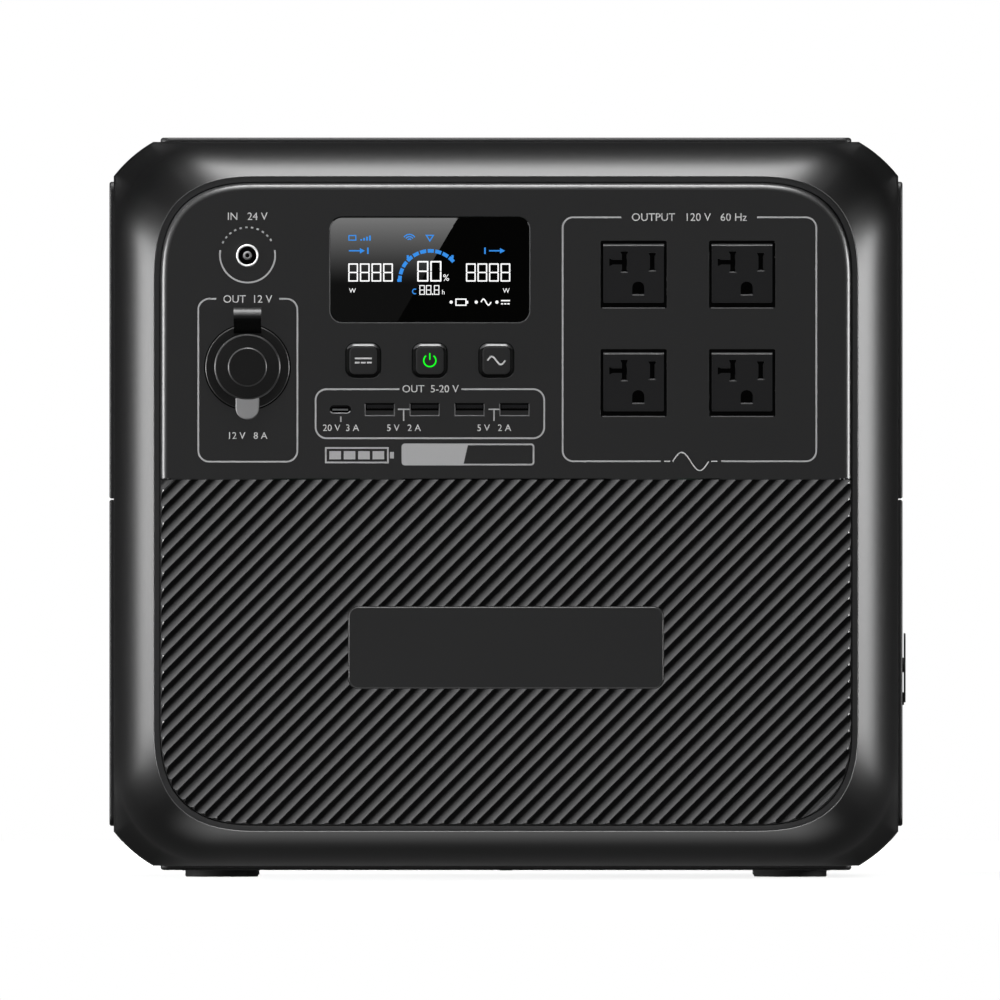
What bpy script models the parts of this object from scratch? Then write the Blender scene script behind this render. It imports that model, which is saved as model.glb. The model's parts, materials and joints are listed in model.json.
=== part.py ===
"""Portable power station, built in metres with +Z up and the front facing -Y.

The origin lies under the middle of the object, on the plane of the feet.
"""

import math

import bmesh
import bpy
from mathutils import Matrix, Vector

# Overall size
WIDTH = 0.340
DEPTH = 0.247
HEIGHT = 0.317
CLEARANCE = 0.0003

# Frames, sleeve and covers
COVER_PROUD = 0.0019
COVER_THICKNESS = 0.0032
COVER_EDGE = 0.0012
COVER_END_MARGIN = 0.0189
TOP_COVER_MARGIN = 0.0219
COVER_CORNER_RADIUS = 0.004
SLEEVE_WALL = 0.003
CORNER_WIDTH = 0.0169
CORNER_HEIGHT = 0.0147
CORNER_BULGE = 0.0011
CORNER_STEPS = 5
BEZEL_SIDE = 0.0176
BEZEL_TOP = 0.0151
BEZEL_DEPTH = 0.035
BEZEL_SETBACK = 0.0003
BEZEL_FIRST_ANGLE = math.radians(38.0)
BEZEL_STEPS = 5
FRAME_FLANGE = 0.005
FRAME_WALL = 0.003
FRAME_BACK_OFFSET = 0.0045
OPENING_RADIUS = 0.0355
LEDGE_WIDTH = 0.006
LEDGE_THICKNESS = 0.003
GASKET_WIDTH = 0.0019
GASKET_THICKNESS = 0.001
PANEL_INSET = 0.0027
REAR_PANEL_INSET = 0.0006
PANEL_THICKNESS = 0.003
PANEL_EDGE = 0.0012
SEAM = 0.0005

# Control panel and its columns
CONTROL_PANEL_HEIGHT = 0.1267
SOCKET_COLUMN_INSET = 0.0372
DISPLAY_COLUMN_SHARE = -0.2205
OUTLET_COLUMN_INSET = 0.0468

# Display
LENS_WIDTH = 0.0858
LENS_HEIGHT = 0.0455
LENS_RADIUS = 0.0054
LENS_THICKNESS = 0.003
LENS_DROP = 0.0373
MODULE_BORDER = 0.003
MODULE_THICKNESS = 0.006

# Push buttons
BUTTON_SIZE = 0.0148
BUTTON_RADIUS = 0.0039
BUTTON_SPACING = 0.02845
BUTTON_DROP = 0.076
BUTTON_PROUD = 0.0013
BUTTON_EDGE = 0.0009
BUTTON_TRAVEL = 0.0009
BUTTON_FLANGE = 0.0011
BUTTON_STEM = 0.004
BUTTON_STEM_LENGTH = 0.0035
SWITCH_SIZE = 0.006
SWITCH_HEIGHT = 0.003
BOARD_THICKNESS = 0.0016
SPACER_RADIUS = 0.0025

# Ports
USB_A_WIDTH = 0.0125
USB_A_HEIGHT = 0.0052
USB_A_DEPTH = 0.0115
USB_A_SPACING = 0.0192
USB_A_FIRST = -0.0214
USB_A_TONGUE = 0.0019
USB_C_WIDTH = 0.0086
USB_C_HEIGHT = 0.003
USB_C_DEPTH = 0.0075
USB_C_TONGUE = 0.0008
USB_C_OFFSET = -0.0383
USB_DROP = 0.097
PORT_WALL = 0.0004
PORT_BACK = 0.003
PORT_SETBACK = 0.0002

# Direct-current jack
JACK_RADIUS = 0.005
JACK_BORE = 0.004
JACK_PIN_RADIUS = 0.0019
JACK_PIN_BORE = 0.001
JACK_PROUD = 0.0006
JACK_FLANGE = 0.0015
JACK_DEPTH = 0.011
JACK_DROP = 0.0311

# Car socket and its cover
SOCKET_DROP = 0.0788
SOCKET_FLANGE_RADIUS = 0.0182
SOCKET_FLANGE = 0.0015
SOCKET_RADIUS = 0.0132
SOCKET_BORE = 0.0105
SOCKET_DEPTH = 0.046
SOCKET_FLOOR = 0.002
SOCKET_NUT_WIDTH = 0.0035
SOCKET_NUT_LENGTH = 0.005
CONTACT_RADIUS = 0.004
CONTACT_HEIGHT = 0.004
CAP_RADIUS = 0.0143
CAP_THICKNESS = 0.0018
CAP_RISE = 0.0006
CAP_RISE_RADIUS = 0.0083
CAP_PLUG_RADIUS = 0.0097
CAP_PLUG_DEPTH = 0.003
STRAP_WIDTH = 0.0115
STRAP_THICKNESS = 0.0016
STRAP_ROLL_RADIUS = 0.0017
STRAP_LENGTH = 0.0236
TAB_WIDTH = 0.010
TAB_REACH = 0.0223

# Mains outlets
OUTLET_SIZE = 0.0259
OUTLET_GAP = 0.0009
OUTLET_SPACING = 0.0464
OUTLET_DROP = 0.0391
OUTLET_SETBACK = 0.0002
OUTLET_FACE_DEPTH = 0.013
OUTLET_BACK_DEPTH = 0.006
OUTLET_FLANGE = 0.0025
OUTLET_CORNER = 0.0012
OUTLET_EDGE = 0.0004
SLOT_OFFSET = 0.002
SLOT_RISE = 0.0052
SLOT_PITCH = 0.0127
SLOT_WIDTH = 0.0023
SLOT_HEIGHT = 0.008
T_SLOT_HEIGHT = 0.0093
T_SLOT_LEG = 0.0053
GROUND_DROP = 0.0061
GROUND_WIDTH = 0.0053
GROUND_HEIGHT = 0.006

# Ribbed panel and name plate
RIB_PITCH = 0.005
RIB_DEPTH = 0.0016
RIB_STEPS = 3
RIB_ANGLE = math.radians(45.0)
RIB_SETBACK = 0.0004
RIB_CREST = 0.0003
PLATE_WIDTH = 0.1347
PLATE_HEIGHT = 0.0348
PLATE_RADIUS = 0.0043
PLATE_THICKNESS = 0.0024
PLATE_PROUD = 0.0006
PLATE_DROP = 0.0721

# Sides: grips, vents, mains inlet and breaker
SIDE_SPLIT_DROP = 0.155
GRIP_LENGTH = 0.112
GRIP_HEIGHT = 0.034
GRIP_DEPTH = 0.028
GRIP_WALL = 0.0025
GRIP_RADIUS = 0.008
GRIP_DROP = 0.055
VENT_HEIGHT = 0.050
VENT_PITCH = 0.0095
VENT_SLOT = 0.0048
VENT_DROP = 0.0345
VENT_SLOTS_LEFT = 10
VENT_SLOTS_RIGHT = 6
VENT_RIGHT_SHIFT = 0.022
INLET_BEZEL_HEIGHT = 0.0591
INLET_BEZEL_WIDTH = 0.044
INLET_BEZEL_PROUD = 0.00045
INLET_BEZEL_THICKNESS = 0.004
INLET_BEZEL_RADIUS = 0.005
INLET_HEIGHT_OVER_FEET = 0.0906
INLET_REAR_MARGIN = 0.0255
INLET_WIDTH = 0.0245
INLET_HEIGHT = 0.0170
INLET_DEPTH = 0.0165
INLET_WALL = 0.002
INLET_FLAP_HEIGHT = 0.0355
INLET_FLAP_WIDTH = 0.034
INLET_FLAP_THICKNESS = 0.0016
INLET_FLAP_RECESS = 0.0014
INLET_FLAP_GAP = 0.0004
INLET_TAB_HEIGHT = 0.0058
INLET_TAB_WIDTH = 0.013
INLET_TAB_PROUD = 0.0008
INLET_PIN_PITCH = 0.014
INLET_PIN_WIDTH = 0.002
INLET_PIN_HEIGHT = 0.004
INLET_PIN_LENGTH = 0.0125
INLET_PIN_DROP = 0.002
INLET_GROUND_RISE = 0.002
BREAKER_RADIUS = 0.0075
BREAKER_BODY_RADIUS = 0.0055
BREAKER_BODY_LENGTH = 0.016
BREAKER_BUTTON_RADIUS = 0.0032
BREAKER_BUTTON_LENGTH = 0.006
BREAKER_OFFSET = 0.035
BREAKER_PROUD = 0.0003

# Fans
FAN_SIZE = 0.060
FAN_THICKNESS = 0.014
FAN_BORE = 0.0285
FAN_TIP_GAP = 0.001
FAN_SPACING = 0.066
FAN_HUB_RADIUS = 0.011
FAN_MOUNT_THICKNESS = 0.003
FAN_STRUT = 0.004
FAN_BLADES = 7
FAN_BLADE_CHORD = 0.010
FAN_BLADE_THICKNESS = 0.0012
FAN_BLADE_PITCH = math.radians(50.0)
FAN_WINDOW_LIP = 0.003

# Battery and electronics
TRAY_WALL = 0.002
TRAY_HEIGHT = 0.025
TRAY_MARGIN = 0.004
CELL_COUNT = 16
CELL_HEIGHT = 0.102
CELL_GROOVE = 0.001
CELL_SEAM_SHARE = 0.08
BMS_GAP = 0.006
BMS_HEIGHT = 0.006
SHELF_GAP = 0.022
SHELF_THICKNESS = 0.0015
INVERTER_GAP = 0.005
INVERTER_LENGTH = 0.220
INVERTER_WIDTH = 0.110
TRANSFORMER_SIZE = 0.038
CAPACITOR_RADIUS = 0.009
CAPACITOR_HEIGHT = 0.035
HEAT_SINK_LENGTH = 0.090
HEAT_SINK_WIDTH = 0.030
HEAT_SINK_HEIGHT = 0.034
HEAT_SINK_FINS = 6
FIN_THICKNESS = 0.0018

# Base and top
FOOT_RADIUS = 0.01565
FOOT_HEIGHT = 0.004
FOOT_VISIBLE = 0.003
FOOT_INSET = 0.048
FOOT_SOLE_EDGE = 0.0006
PAD_RADIUS = 0.043
PAD_THICKNESS = 0.0012
COIL_OUTER = 0.038
COIL_INNER = 0.016
COIL_THICKNESS = 0.003

# Drawing resolution
ROUND_STEPS = 24
FINE_STEPS = 36
SMALL_STEPS = 16
SPACER_STEPS = 8
ARC_STEPS = 4

# Worked-out planes and outlines
CAP_STACK = SOCKET_FLANGE + CLEARANCE + CAP_THICKNESS + CAP_RISE
FRONT_Y = -DEPTH / 2 + CAP_STACK
REAR_Y = DEPTH / 2
FRAME_X = WIDTH / 2 - COVER_PROUD
FRAME_BOTTOM = FOOT_VISIBLE + COVER_PROUD
FRAME_TOP = HEIGHT - COVER_PROUD
FRAME_Z = (FRAME_BOTTOM + FRAME_TOP) / 2
FRAME_H = (FRAME_TOP - FRAME_BOTTOM) / 2
OPENING_X = FRAME_X - BEZEL_SIDE
OPENING_H = FRAME_H - BEZEL_TOP
PANEL_X = OPENING_X - PANEL_INSET
PANEL_TOP = FRAME_Z + OPENING_H - PANEL_INSET
PANEL_BOTTOM = FRAME_Z - OPENING_H + PANEL_INSET
PANEL_RADIUS = OPENING_RADIUS - PANEL_INSET
SPLIT_Z = PANEL_TOP - CONTROL_PANEL_HEIGHT
PANEL_BACK = FRONT_Y + PANEL_THICKNESS
LEDGE_DEPTH = PANEL_THICKNESS + CLEARANCE
FRAME_LENGTH = BEZEL_SETBACK + BEZEL_DEPTH + FRAME_FLANGE
SLEEVE_Y0 = FRONT_Y + FRAME_LENGTH + CLEARANCE
SLEEVE_Y1 = REAR_Y - FRAME_LENGTH - CLEARANCE
SLEEVE_Y = (SLEEVE_Y0 + SLEEVE_Y1) / 2
SLEEVE_INSET = COVER_THICKNESS + CLEARANCE - COVER_PROUD
SLEEVE_X = FRAME_X - SLEEVE_INSET
INNER_X = SLEEVE_X - SLEEVE_WALL
INNER_BOTTOM = FRAME_BOTTOM + SLEEVE_INSET + SLEEVE_WALL
INNER_TOP = FRAME_TOP - SLEEVE_INSET - SLEEVE_WALL
COVER_LENGTH = SLEEVE_Y1 - SLEEVE_Y0
COVER_MID = COVER_THICKNESS / 2
COVER_Z0 = FRAME_BOTTOM + COVER_END_MARGIN - COVER_PROUD
COVER_Z1 = FRAME_TOP - COVER_END_MARGIN + COVER_PROUD
SIDE_SPLIT_Z = HEIGHT - SIDE_SPLIT_DROP
GRIP_Z = HEIGHT - GRIP_DROP
VENT_Z = SIDE_SPLIT_Z - VENT_DROP
SOCKET_X = -PANEL_X + SOCKET_COLUMN_INSET
DISPLAY_X = PANEL_X * DISPLAY_COLUMN_SHARE
LENS_Z = PANEL_TOP - LENS_DROP
BUTTON_Z = PANEL_TOP - BUTTON_DROP
USB_Z = PANEL_TOP - USB_DROP
JACK_Z = PANEL_TOP - JACK_DROP
SOCKET_Z = PANEL_TOP - SOCKET_DROP
INLET_Y = SLEEVE_Y1 - INLET_REAR_MARGIN
INLET_Z = INLET_HEIGHT_OVER_FEET
INLET_FACE = WIDTH / 2 + INLET_BEZEL_PROUD
INLET_FLOOR = INLET_FACE - INLET_FLAP_RECESS
BREAKER_Y = INLET_Y - BREAKER_OFFSET


def clear_scene():
    """Remove every object that a new file starts with."""
    for thing in list(bpy.data.objects):
        bpy.data.objects.remove(thing, do_unlink=True)


def make_collection(name, hidden):
    """Make one collection in the scene; a hidden one holds the cutters."""
    group = bpy.data.collections.new(name)
    bpy.context.scene.collection.children.link(group)
    group.hide_render = hidden
    return group


def make_material(name, colour, roughness, metallic=0.0):
    """Make one plain Principled material."""
    material = bpy.data.materials.new(name)
    material.use_nodes = True
    shader = material.node_tree.nodes["Principled BSDF"]
    shader.inputs["Base Color"].default_value = (*colour, 1.0)
    shader.inputs["Roughness"].default_value = roughness
    shader.inputs["Metallic"].default_value = metallic
    return material


clear_scene()
PARTS = make_collection("portable_power_station", False)
CUTTERS = make_collection("cutters", True)

SATIN = make_material("frame_satin", (0.020, 0.020, 0.022), 0.35)
MATTE = make_material("panel_matte", (0.024, 0.024, 0.026), 0.55)
COVER = make_material("cover_plastic", (0.018, 0.018, 0.020), 0.50)
RUBBER = make_material("rubber_black", (0.016, 0.016, 0.016), 0.80)
GLASS = make_material("lens_black", (0.004, 0.004, 0.004), 0.08)
METAL = make_material("bright_metal", (0.62, 0.62, 0.64), 0.25, 1.0)
SHEET = make_material("sheet_metal", (0.45, 0.46, 0.48), 0.40, 1.0)
BOARD = make_material("circuit_board", (0.02, 0.12, 0.05), 0.60)
CELLS = make_material("cell_wrap", (0.03, 0.16, 0.42), 0.45)
COPPER = make_material("copper", (0.75, 0.36, 0.18), 0.35, 1.0)


def place(thing, name, material, helper=False):
    """Name an object, give it its material and link it to its collection."""
    thing.name = name
    thing.data.name = name
    if not thing.data.materials:
        thing.data.materials.append(material)
    if helper:
        CUTTERS.objects.link(thing)
        thing.hide_render = True
        thing.display_type = "WIRE"
    else:
        PARTS.objects.link(thing)
    return thing


def from_bmesh(bm, name, material, helper=False):
    """Turn a finished bmesh into a placed object."""
    bmesh.ops.recalc_face_normals(bm, faces=bm.faces)
    mesh = bpy.data.meshes.new(name)
    bm.to_mesh(mesh)
    bm.free()
    return place(bpy.data.objects.new(name, mesh), name, material, helper)


def block(name, low, high, material, helper=False):
    """Make a plain box between two corners."""
    low = Vector(low)
    high = Vector(high)
    bm = bmesh.new()
    bmesh.ops.create_cube(bm, size=1.0)
    bmesh.ops.scale(bm, vec=high - low, verts=bm.verts)
    bmesh.ops.translate(bm, vec=(low + high) / 2, verts=bm.verts)
    return from_bmesh(bm, name, material, helper)


def rounded_outline(u0, u1, v0, v1, radii, steps=ARC_STEPS):
    """Outline with its own radius at each corner: low left, low right, top right, top left."""
    corners = ((u0, v0, 1, 1), (u1, v0, -1, 1), (u1, v1, -1, -1), (u0, v1, 1, -1))
    points = []
    for index, (u, v, du, dv) in enumerate(corners):
        radius = radii[index]
        if radius <= 0.0:
            points.append((u, v))
            continue
        start = math.pi + index * math.pi / 2
        for step in range(steps + 1):
            angle = start + step * math.pi / 2 / steps
            points.append((u + du * radius + radius * math.cos(angle), v + dv * radius + radius * math.sin(angle)))
    return points


def rounded_box(u, v, width, height, radius, steps=ARC_STEPS):
    """Outline of a rectangle about its middle, with four equal corners."""
    return rounded_outline(u - width / 2, u + width / 2, v - height / 2, v + height / 2, (radius,) * 4, steps)


def circle(u, v, radius, steps=ROUND_STEPS):
    """Outline of a circle."""
    turn = 2 * math.pi / steps
    return [(u + radius * math.cos(i * turn), v + radius * math.sin(i * turn)) for i in range(steps)]


PLANES = {
    "top": Matrix.Identity(3),
    "front": Matrix(((1, 0, 0), (0, 0, -1), (0, 1, 0))),
    "side": Matrix(((0, 0, 1), (1, 0, 0), (0, 1, 0))),
}


def plate(name, outlines, plane, level, thickness, material, edge=0.0, edge_steps=0, helper=False):
    """Flat piece from 2D outlines, the first outside and the others holes, with its middle at the level."""
    curve = bpy.data.curves.new(name, "CURVE")
    curve.dimensions = "2D"
    curve.fill_mode = "BOTH"
    curve.render_resolution_u = 0
    curve.extrude = thickness / 2 - edge
    curve.bevel_depth = edge
    curve.bevel_resolution = edge_steps
    curve.offset = -edge
    for outline in outlines:
        spline = curve.splines.new("POLY")
        spline.points.add(len(outline) - 1)
        for point, (u, v) in zip(spline.points, outline):
            point.co = (u, v, 0.0, 1.0)
        spline.use_cyclic_u = True
    sketch = bpy.data.objects.new(name + "_sketch", curve)
    bpy.context.scene.collection.objects.link(sketch)
    graph = bpy.context.evaluated_depsgraph_get()
    mesh = bpy.data.meshes.new_from_object(sketch.evaluated_get(graph))
    bpy.data.objects.remove(sketch, do_unlink=True)
    bm = bmesh.new()
    bm.from_mesh(mesh)
    bmesh.ops.remove_doubles(bm, verts=bm.verts, dist=0.000002)
    bmesh.ops.transform(bm, matrix=PLANES[plane].to_4x4(), verts=bm.verts)
    shift = {"top": (0, 0, level), "front": (0, level, 0), "side": (level, 0, 0)}[plane]
    bmesh.ops.translate(bm, vec=shift, verts=bm.verts)
    return from_bmesh(bm, name, material, helper)


def turned(name, profile, axis, origin, material, closed=True, steps=ROUND_STEPS, helper=False):
    """Turned piece: the profile lists (radius, height) down its outer side, about a line along the axis."""
    bm = bmesh.new()
    verts = [bm.verts.new((radius, 0.0, height)) for radius, height in profile]
    for first, second in zip(verts, verts[1:]):
        bm.edges.new((first, second))
    if closed:
        bm.edges.new((verts[-1], verts[0]))
    mesh = bpy.data.meshes.new(name)
    bm.to_mesh(mesh)
    bm.free()
    thing = place(bpy.data.objects.new(name, mesh), name, material, helper)
    screw = thing.modifiers.new("turn", "SCREW")
    screw.axis = "Z"
    screw.steps = steps
    screw.render_steps = steps
    screw.use_merge_vertices = True
    screw.merge_threshold = 0.000005
    screw.use_smooth_shade = False
    thing.location = origin
    thing.rotation_euler = Vector((0, 0, 1)).rotation_difference(Vector(axis)).to_euler()
    return thing


def cut(thing, cutter):
    """Take the cutter out of the piece."""
    step = thing.modifiers.new("cut", "BOOLEAN")
    step.operation = "DIFFERENCE"
    step.solver = "EXACT"
    step.object = cutter


def join(thing, other):
    """Fuse a helper solid into the piece."""
    step = thing.modifiers.new("join", "BOOLEAN")
    step.operation = "UNION"
    step.solver = "EXACT"
    step.object = other


def keep_inside(thing, other):
    """Keep only what lies inside the helper solid."""
    step = thing.modifiers.new("trim", "BOOLEAN")
    step.operation = "INTERSECT"
    step.solver = "EXACT"
    step.object = other


def ring_loft(name, loops, material, helper=False):
    """Closed ring through matching loops, the last joined back to the first."""
    bm = bmesh.new()
    rings = [[bm.verts.new(point) for point in loop] for loop in loops]
    count = len(rings[0])
    for index, ring in enumerate(rings):
        following = rings[(index + 1) % len(rings)]
        for i in range(count):
            j = (i + 1) % count
            bm.faces.new((ring[i], ring[j], following[j], following[i]))
    return from_bmesh(bm, name, material, helper)


def corner_octagon(half_width, half_height, leg_width, leg_height, bulge):
    """Loop of the chamfered outline, each corner a shallow arc of CORNER_STEPS pieces."""
    normal = Vector((leg_height, leg_width)).normalized()
    points = []
    for quadrant, (sx, sz) in enumerate(((1, 1), (-1, 1), (-1, -1), (1, -1))):
        arc = []
        for step in range(CORNER_STEPS + 1):
            s = step / CORNER_STEPS
            swell = 4 * bulge * s * (1 - s)
            x = half_width - leg_width * s + normal.x * swell
            z = half_height - leg_height * (1 - s) + normal.y * swell
            arc.append((sx * x, FRAME_Z + sz * z))
        points += arc if quadrant % 2 == 0 else arc[::-1]
    return points


def even_octagon(inset):
    """Frame outline moved in evenly by the inset."""
    slope = math.hypot(CORNER_WIDTH, CORNER_HEIGHT)
    leg_width = CORNER_WIDTH + inset * ((slope - CORNER_WIDTH) / CORNER_HEIGHT - 1)
    leg_height = CORNER_HEIGHT + inset * ((slope - CORNER_HEIGHT) / CORNER_WIDTH - 1)
    return corner_octagon(FRAME_X - inset, FRAME_H - inset, leg_width, leg_height, CORNER_BULGE)


def flush_octagon(inset, wall):
    """Sleeve outline: flats moved in by the inset, corners level with the frame, then all in by a wall."""
    width = CORNER_WIDTH - inset - inset * CORNER_WIDTH / CORNER_HEIGHT
    height = CORNER_HEIGHT - inset - inset * CORNER_HEIGHT / CORNER_WIDTH
    slope = math.hypot(CORNER_WIDTH, CORNER_HEIGHT)
    leg_width = width + wall * ((slope - CORNER_WIDTH) / CORNER_HEIGHT - 1)
    leg_height = height + wall * ((slope - CORNER_HEIGHT) / CORNER_WIDTH - 1)
    total = inset + wall
    return corner_octagon(FRAME_X - total, FRAME_H - total, leg_width, leg_height, CORNER_BULGE)


def opening_loop(inset):
    """Loop of the rounded front opening moved in by the inset, matched point for point to the octagon."""
    half_width = OPENING_X - inset
    half_height = OPENING_H - inset
    radius = OPENING_RADIUS - inset
    points = []
    for quadrant, (sx, sz) in enumerate(((1, 1), (-1, 1), (-1, -1), (1, -1))):
        arc = []
        for step in range(CORNER_STEPS + 1):
            angle = step * math.pi / 2 / CORNER_STEPS
            x = half_width - radius + radius * math.cos(angle)
            z = half_height - radius + radius * math.sin(angle)
            arc.append((sx * x, FRAME_Z + sz * z))
        points += arc if quadrant % 2 == 0 else arc[::-1]
    return points


def bezel_point(share):
    """Way out from the opening (0) to the outer edge (1) and the depth there, on the swelling bezel."""
    first = math.sin(BEZEL_FIRST_ANGLE)
    angle = BEZEL_FIRST_ANGLE + share * (math.pi / 2 - BEZEL_FIRST_ANGLE)
    out = (math.sin(angle) - first) / (1 - first)
    depth = BEZEL_DEPTH * (1 - math.cos(angle) / math.cos(BEZEL_FIRST_ANGLE))
    return out, BEZEL_SETBACK + depth


def make_frame(name, face, sign):
    """Moulded frame: a loft from the rounded opening to the chamfered outline, with a ledge for the panel."""
    inner = opening_loop(0.0)
    outer = even_octagon(0.0)

    def blend(out, depth):
        return [(a[0] + (b[0] - a[0]) * out, face + sign * depth, a[1] + (b[1] - a[1]) * out)
                for a, b in zip(inner, outer)]

    def level(loop, depth):
        return [(x, face + sign * depth, z) for x, z in loop]

    loops = [blend(*bezel_point(step / BEZEL_STEPS)) for step in range(BEZEL_STEPS + 1)]
    loops.append(level(outer, FRAME_LENGTH))
    loops.append(level(even_octagon(FRAME_WALL), FRAME_LENGTH))
    loops.append(level(even_octagon(FRAME_WALL), BEZEL_SETBACK + BEZEL_DEPTH))
    middle_out, middle_depth = bezel_point(0.5)
    loops.append(blend(middle_out, middle_depth + FRAME_BACK_OFFSET))
    loops.append(level(opening_loop(0.0), LEDGE_DEPTH + LEDGE_THICKNESS))
    loops.append(level(opening_loop(LEDGE_WIDTH), LEDGE_DEPTH + LEDGE_THICKNESS))
    loops.append(level(opening_loop(LEDGE_WIDTH), LEDGE_DEPTH))
    loops.append(level(opening_loop(0.0), LEDGE_DEPTH))
    return ring_loft(name, loops, SATIN)


def make_gasket(name, face, sign):
    """Flat ring on the frame's ledge, between the opening and the panel."""
    near = face + sign * (LEDGE_DEPTH - CLEARANCE - GASKET_THICKNESS)
    far = face + sign * (LEDGE_DEPTH - CLEARANCE)
    outside = opening_loop(CLEARANCE)
    inside = opening_loop(CLEARANCE + GASKET_WIDTH)
    loops = [[(x, y, z) for x, z in loop]
             for loop, y in ((outside, near), (outside, far), (inside, far), (inside, near))]
    return ring_loft(name, loops, RUBBER)


def side_window(name, y, z, length, height, sign):
    """Cutter that opens the sleeve's side wall."""
    reach = SLEEVE_WALL * 2
    inner = sign * (INNER_X - reach)
    outer = sign * (SLEEVE_X + reach)
    low = (min(inner, outer), y - length / 2, z - height / 2)
    high = (max(inner, outer), y + length / 2, z + height / 2)
    return block(name, low, high, COVER, helper=True)


def make_sleeve():
    """Sleeve between the frames, open at the grips, the vents, the inlet and the breaker."""
    outside = flush_octagon(SLEEVE_INSET, 0.0)
    inside = flush_octagon(SLEEVE_INSET, SLEEVE_WALL)
    loops = [[(x, y, z) for x, z in loop]
             for loop, y in ((outside, SLEEVE_Y0), (outside, SLEEVE_Y1), (inside, SLEEVE_Y1), (inside, SLEEVE_Y0))]
    sleeve = ring_loft("housing_sleeve", loops, COVER)
    grip_length = GRIP_LENGTH + 2 * (GRIP_WALL + CLEARANCE)
    grip_height = GRIP_HEIGHT + 2 * (GRIP_WALL + CLEARANCE)
    fan_length = FAN_SPACING + FAN_SIZE - 2 * FAN_WINDOW_LIP
    fan_height = FAN_SIZE - 2 * FAN_WINDOW_LIP
    vent_length = VENT_SLOTS_RIGHT * VENT_PITCH + VENT_HEIGHT
    inlet_length = INLET_WIDTH + 2 * (INLET_WALL + CLEARANCE)
    inlet_height = INLET_HEIGHT + 2 * (INLET_WALL + CLEARANCE)
    breaker = 2 * (BREAKER_BODY_RADIUS + CLEARANCE)
    cut(sleeve, side_window("left_grip_window", SLEEVE_Y, GRIP_Z, grip_length, grip_height, -1))
    cut(sleeve, side_window("right_grip_window", SLEEVE_Y, GRIP_Z, grip_length, grip_height, 1))
    cut(sleeve, side_window("fan_window", SLEEVE_Y, VENT_Z, fan_length, fan_height, -1))
    cut(sleeve, side_window("vent_window", SLEEVE_Y - VENT_RIGHT_SHIFT, VENT_Z, vent_length, VENT_HEIGHT, 1))
    cut(sleeve, side_window("inlet_window", INLET_Y, INLET_Z, inlet_length, inlet_height, 1))
    cut(sleeve, side_window("breaker_window", BREAKER_Y, INLET_Z, breaker, breaker, 1))
    return sleeve


def make_flat_covers():
    """Top cover with the pad recess, and base cover with the foot pockets."""
    half = FRAME_X - TOP_COVER_MARGIN + COVER_PROUD
    outline = rounded_outline(-half, half, SLEEVE_Y0, SLEEVE_Y1, (COVER_CORNER_RADIUS,) * 4)
    top = plate("top_cover", [outline], "top", HEIGHT - COVER_MID, COVER_THICKNESS, COVER, COVER_EDGE)
    recess = PAD_RADIUS + CLEARANCE
    floor = -PAD_THICKNESS - CLEARANCE
    cut(top, turned("pad_recess", ((0, COVER_THICKNESS), (recess, COVER_THICKNESS), (recess, floor), (0, floor)),
                    (0, 0, 1), (0, SLEEVE_Y, HEIGHT), COVER, closed=False, steps=FINE_STEPS, helper=True))
    base = plate("base_cover", [outline], "top", FOOT_VISIBLE + COVER_MID, COVER_THICKNESS, COVER, COVER_EDGE)
    pocket = FOOT_RADIUS + CLEARANCE
    roof = FOOT_HEIGHT + CLEARANCE
    for index, (x, y) in enumerate(foot_places()):
        cut(base, turned(f"foot_pocket_{index}", ((0, roof), (pocket, roof), (pocket, 0), (0, 0)),
                         (0, 0, 1), (x, y, 0), COVER, closed=False, helper=True))
    turned("charging_pad", ((0, 0), (PAD_RADIUS, 0), (PAD_RADIUS, -PAD_THICKNESS), (0, -PAD_THICKNESS)),
           (0, 0, 1), (0, SLEEVE_Y, HEIGHT), RUBBER, closed=False, steps=FINE_STEPS)
    roof_z = INNER_TOP - CLEARANCE
    turned("charging_coil", ((COIL_INNER, 0), (COIL_OUTER, 0), (COIL_OUTER, -COIL_THICKNESS),
                             (COIL_INNER, -COIL_THICKNESS)), (0, 0, 1), (0, SLEEVE_Y, roof_z), COPPER)


def foot_places():
    """Middle of each foot: front left, front right, rear left, rear right."""
    x = WIDTH / 2 - FOOT_INSET
    inset = FOOT_RADIUS * 2
    return [(sx * x, y) for y in (SLEEVE_Y0 + inset, SLEEVE_Y1 - inset) for sx in (-1, 1)]


def make_feet():
    """Four rubber feet in the pockets of the base cover."""
    names = ("foot_front_left", "foot_front_right", "foot_rear_left", "foot_rear_right")
    sole = FOOT_RADIUS - FOOT_SOLE_EDGE
    profile = ((0, FOOT_HEIGHT), (FOOT_RADIUS, FOOT_HEIGHT), (FOOT_RADIUS, FOOT_SOLE_EDGE), (sole, 0), (0, 0))
    for name, (x, y) in zip(names, foot_places()):
        turned(name, profile, (0, 0, 1), (x, y, 0), RUBBER, closed=False)


def vent_slots(middle, count):
    """Leaning slots of a vent, in the side plane."""
    slots = []
    lean = VENT_HEIGHT / 2
    for index in range(count):
        y = middle + (index - (count - 1) / 2) * VENT_PITCH
        half = VENT_SLOT / 2
        slots.append([(y - lean - half, VENT_Z - lean), (y - lean + half, VENT_Z - lean),
                      (y + lean + half, VENT_Z + lean), (y + lean - half, VENT_Z + lean)])
    return slots


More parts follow.
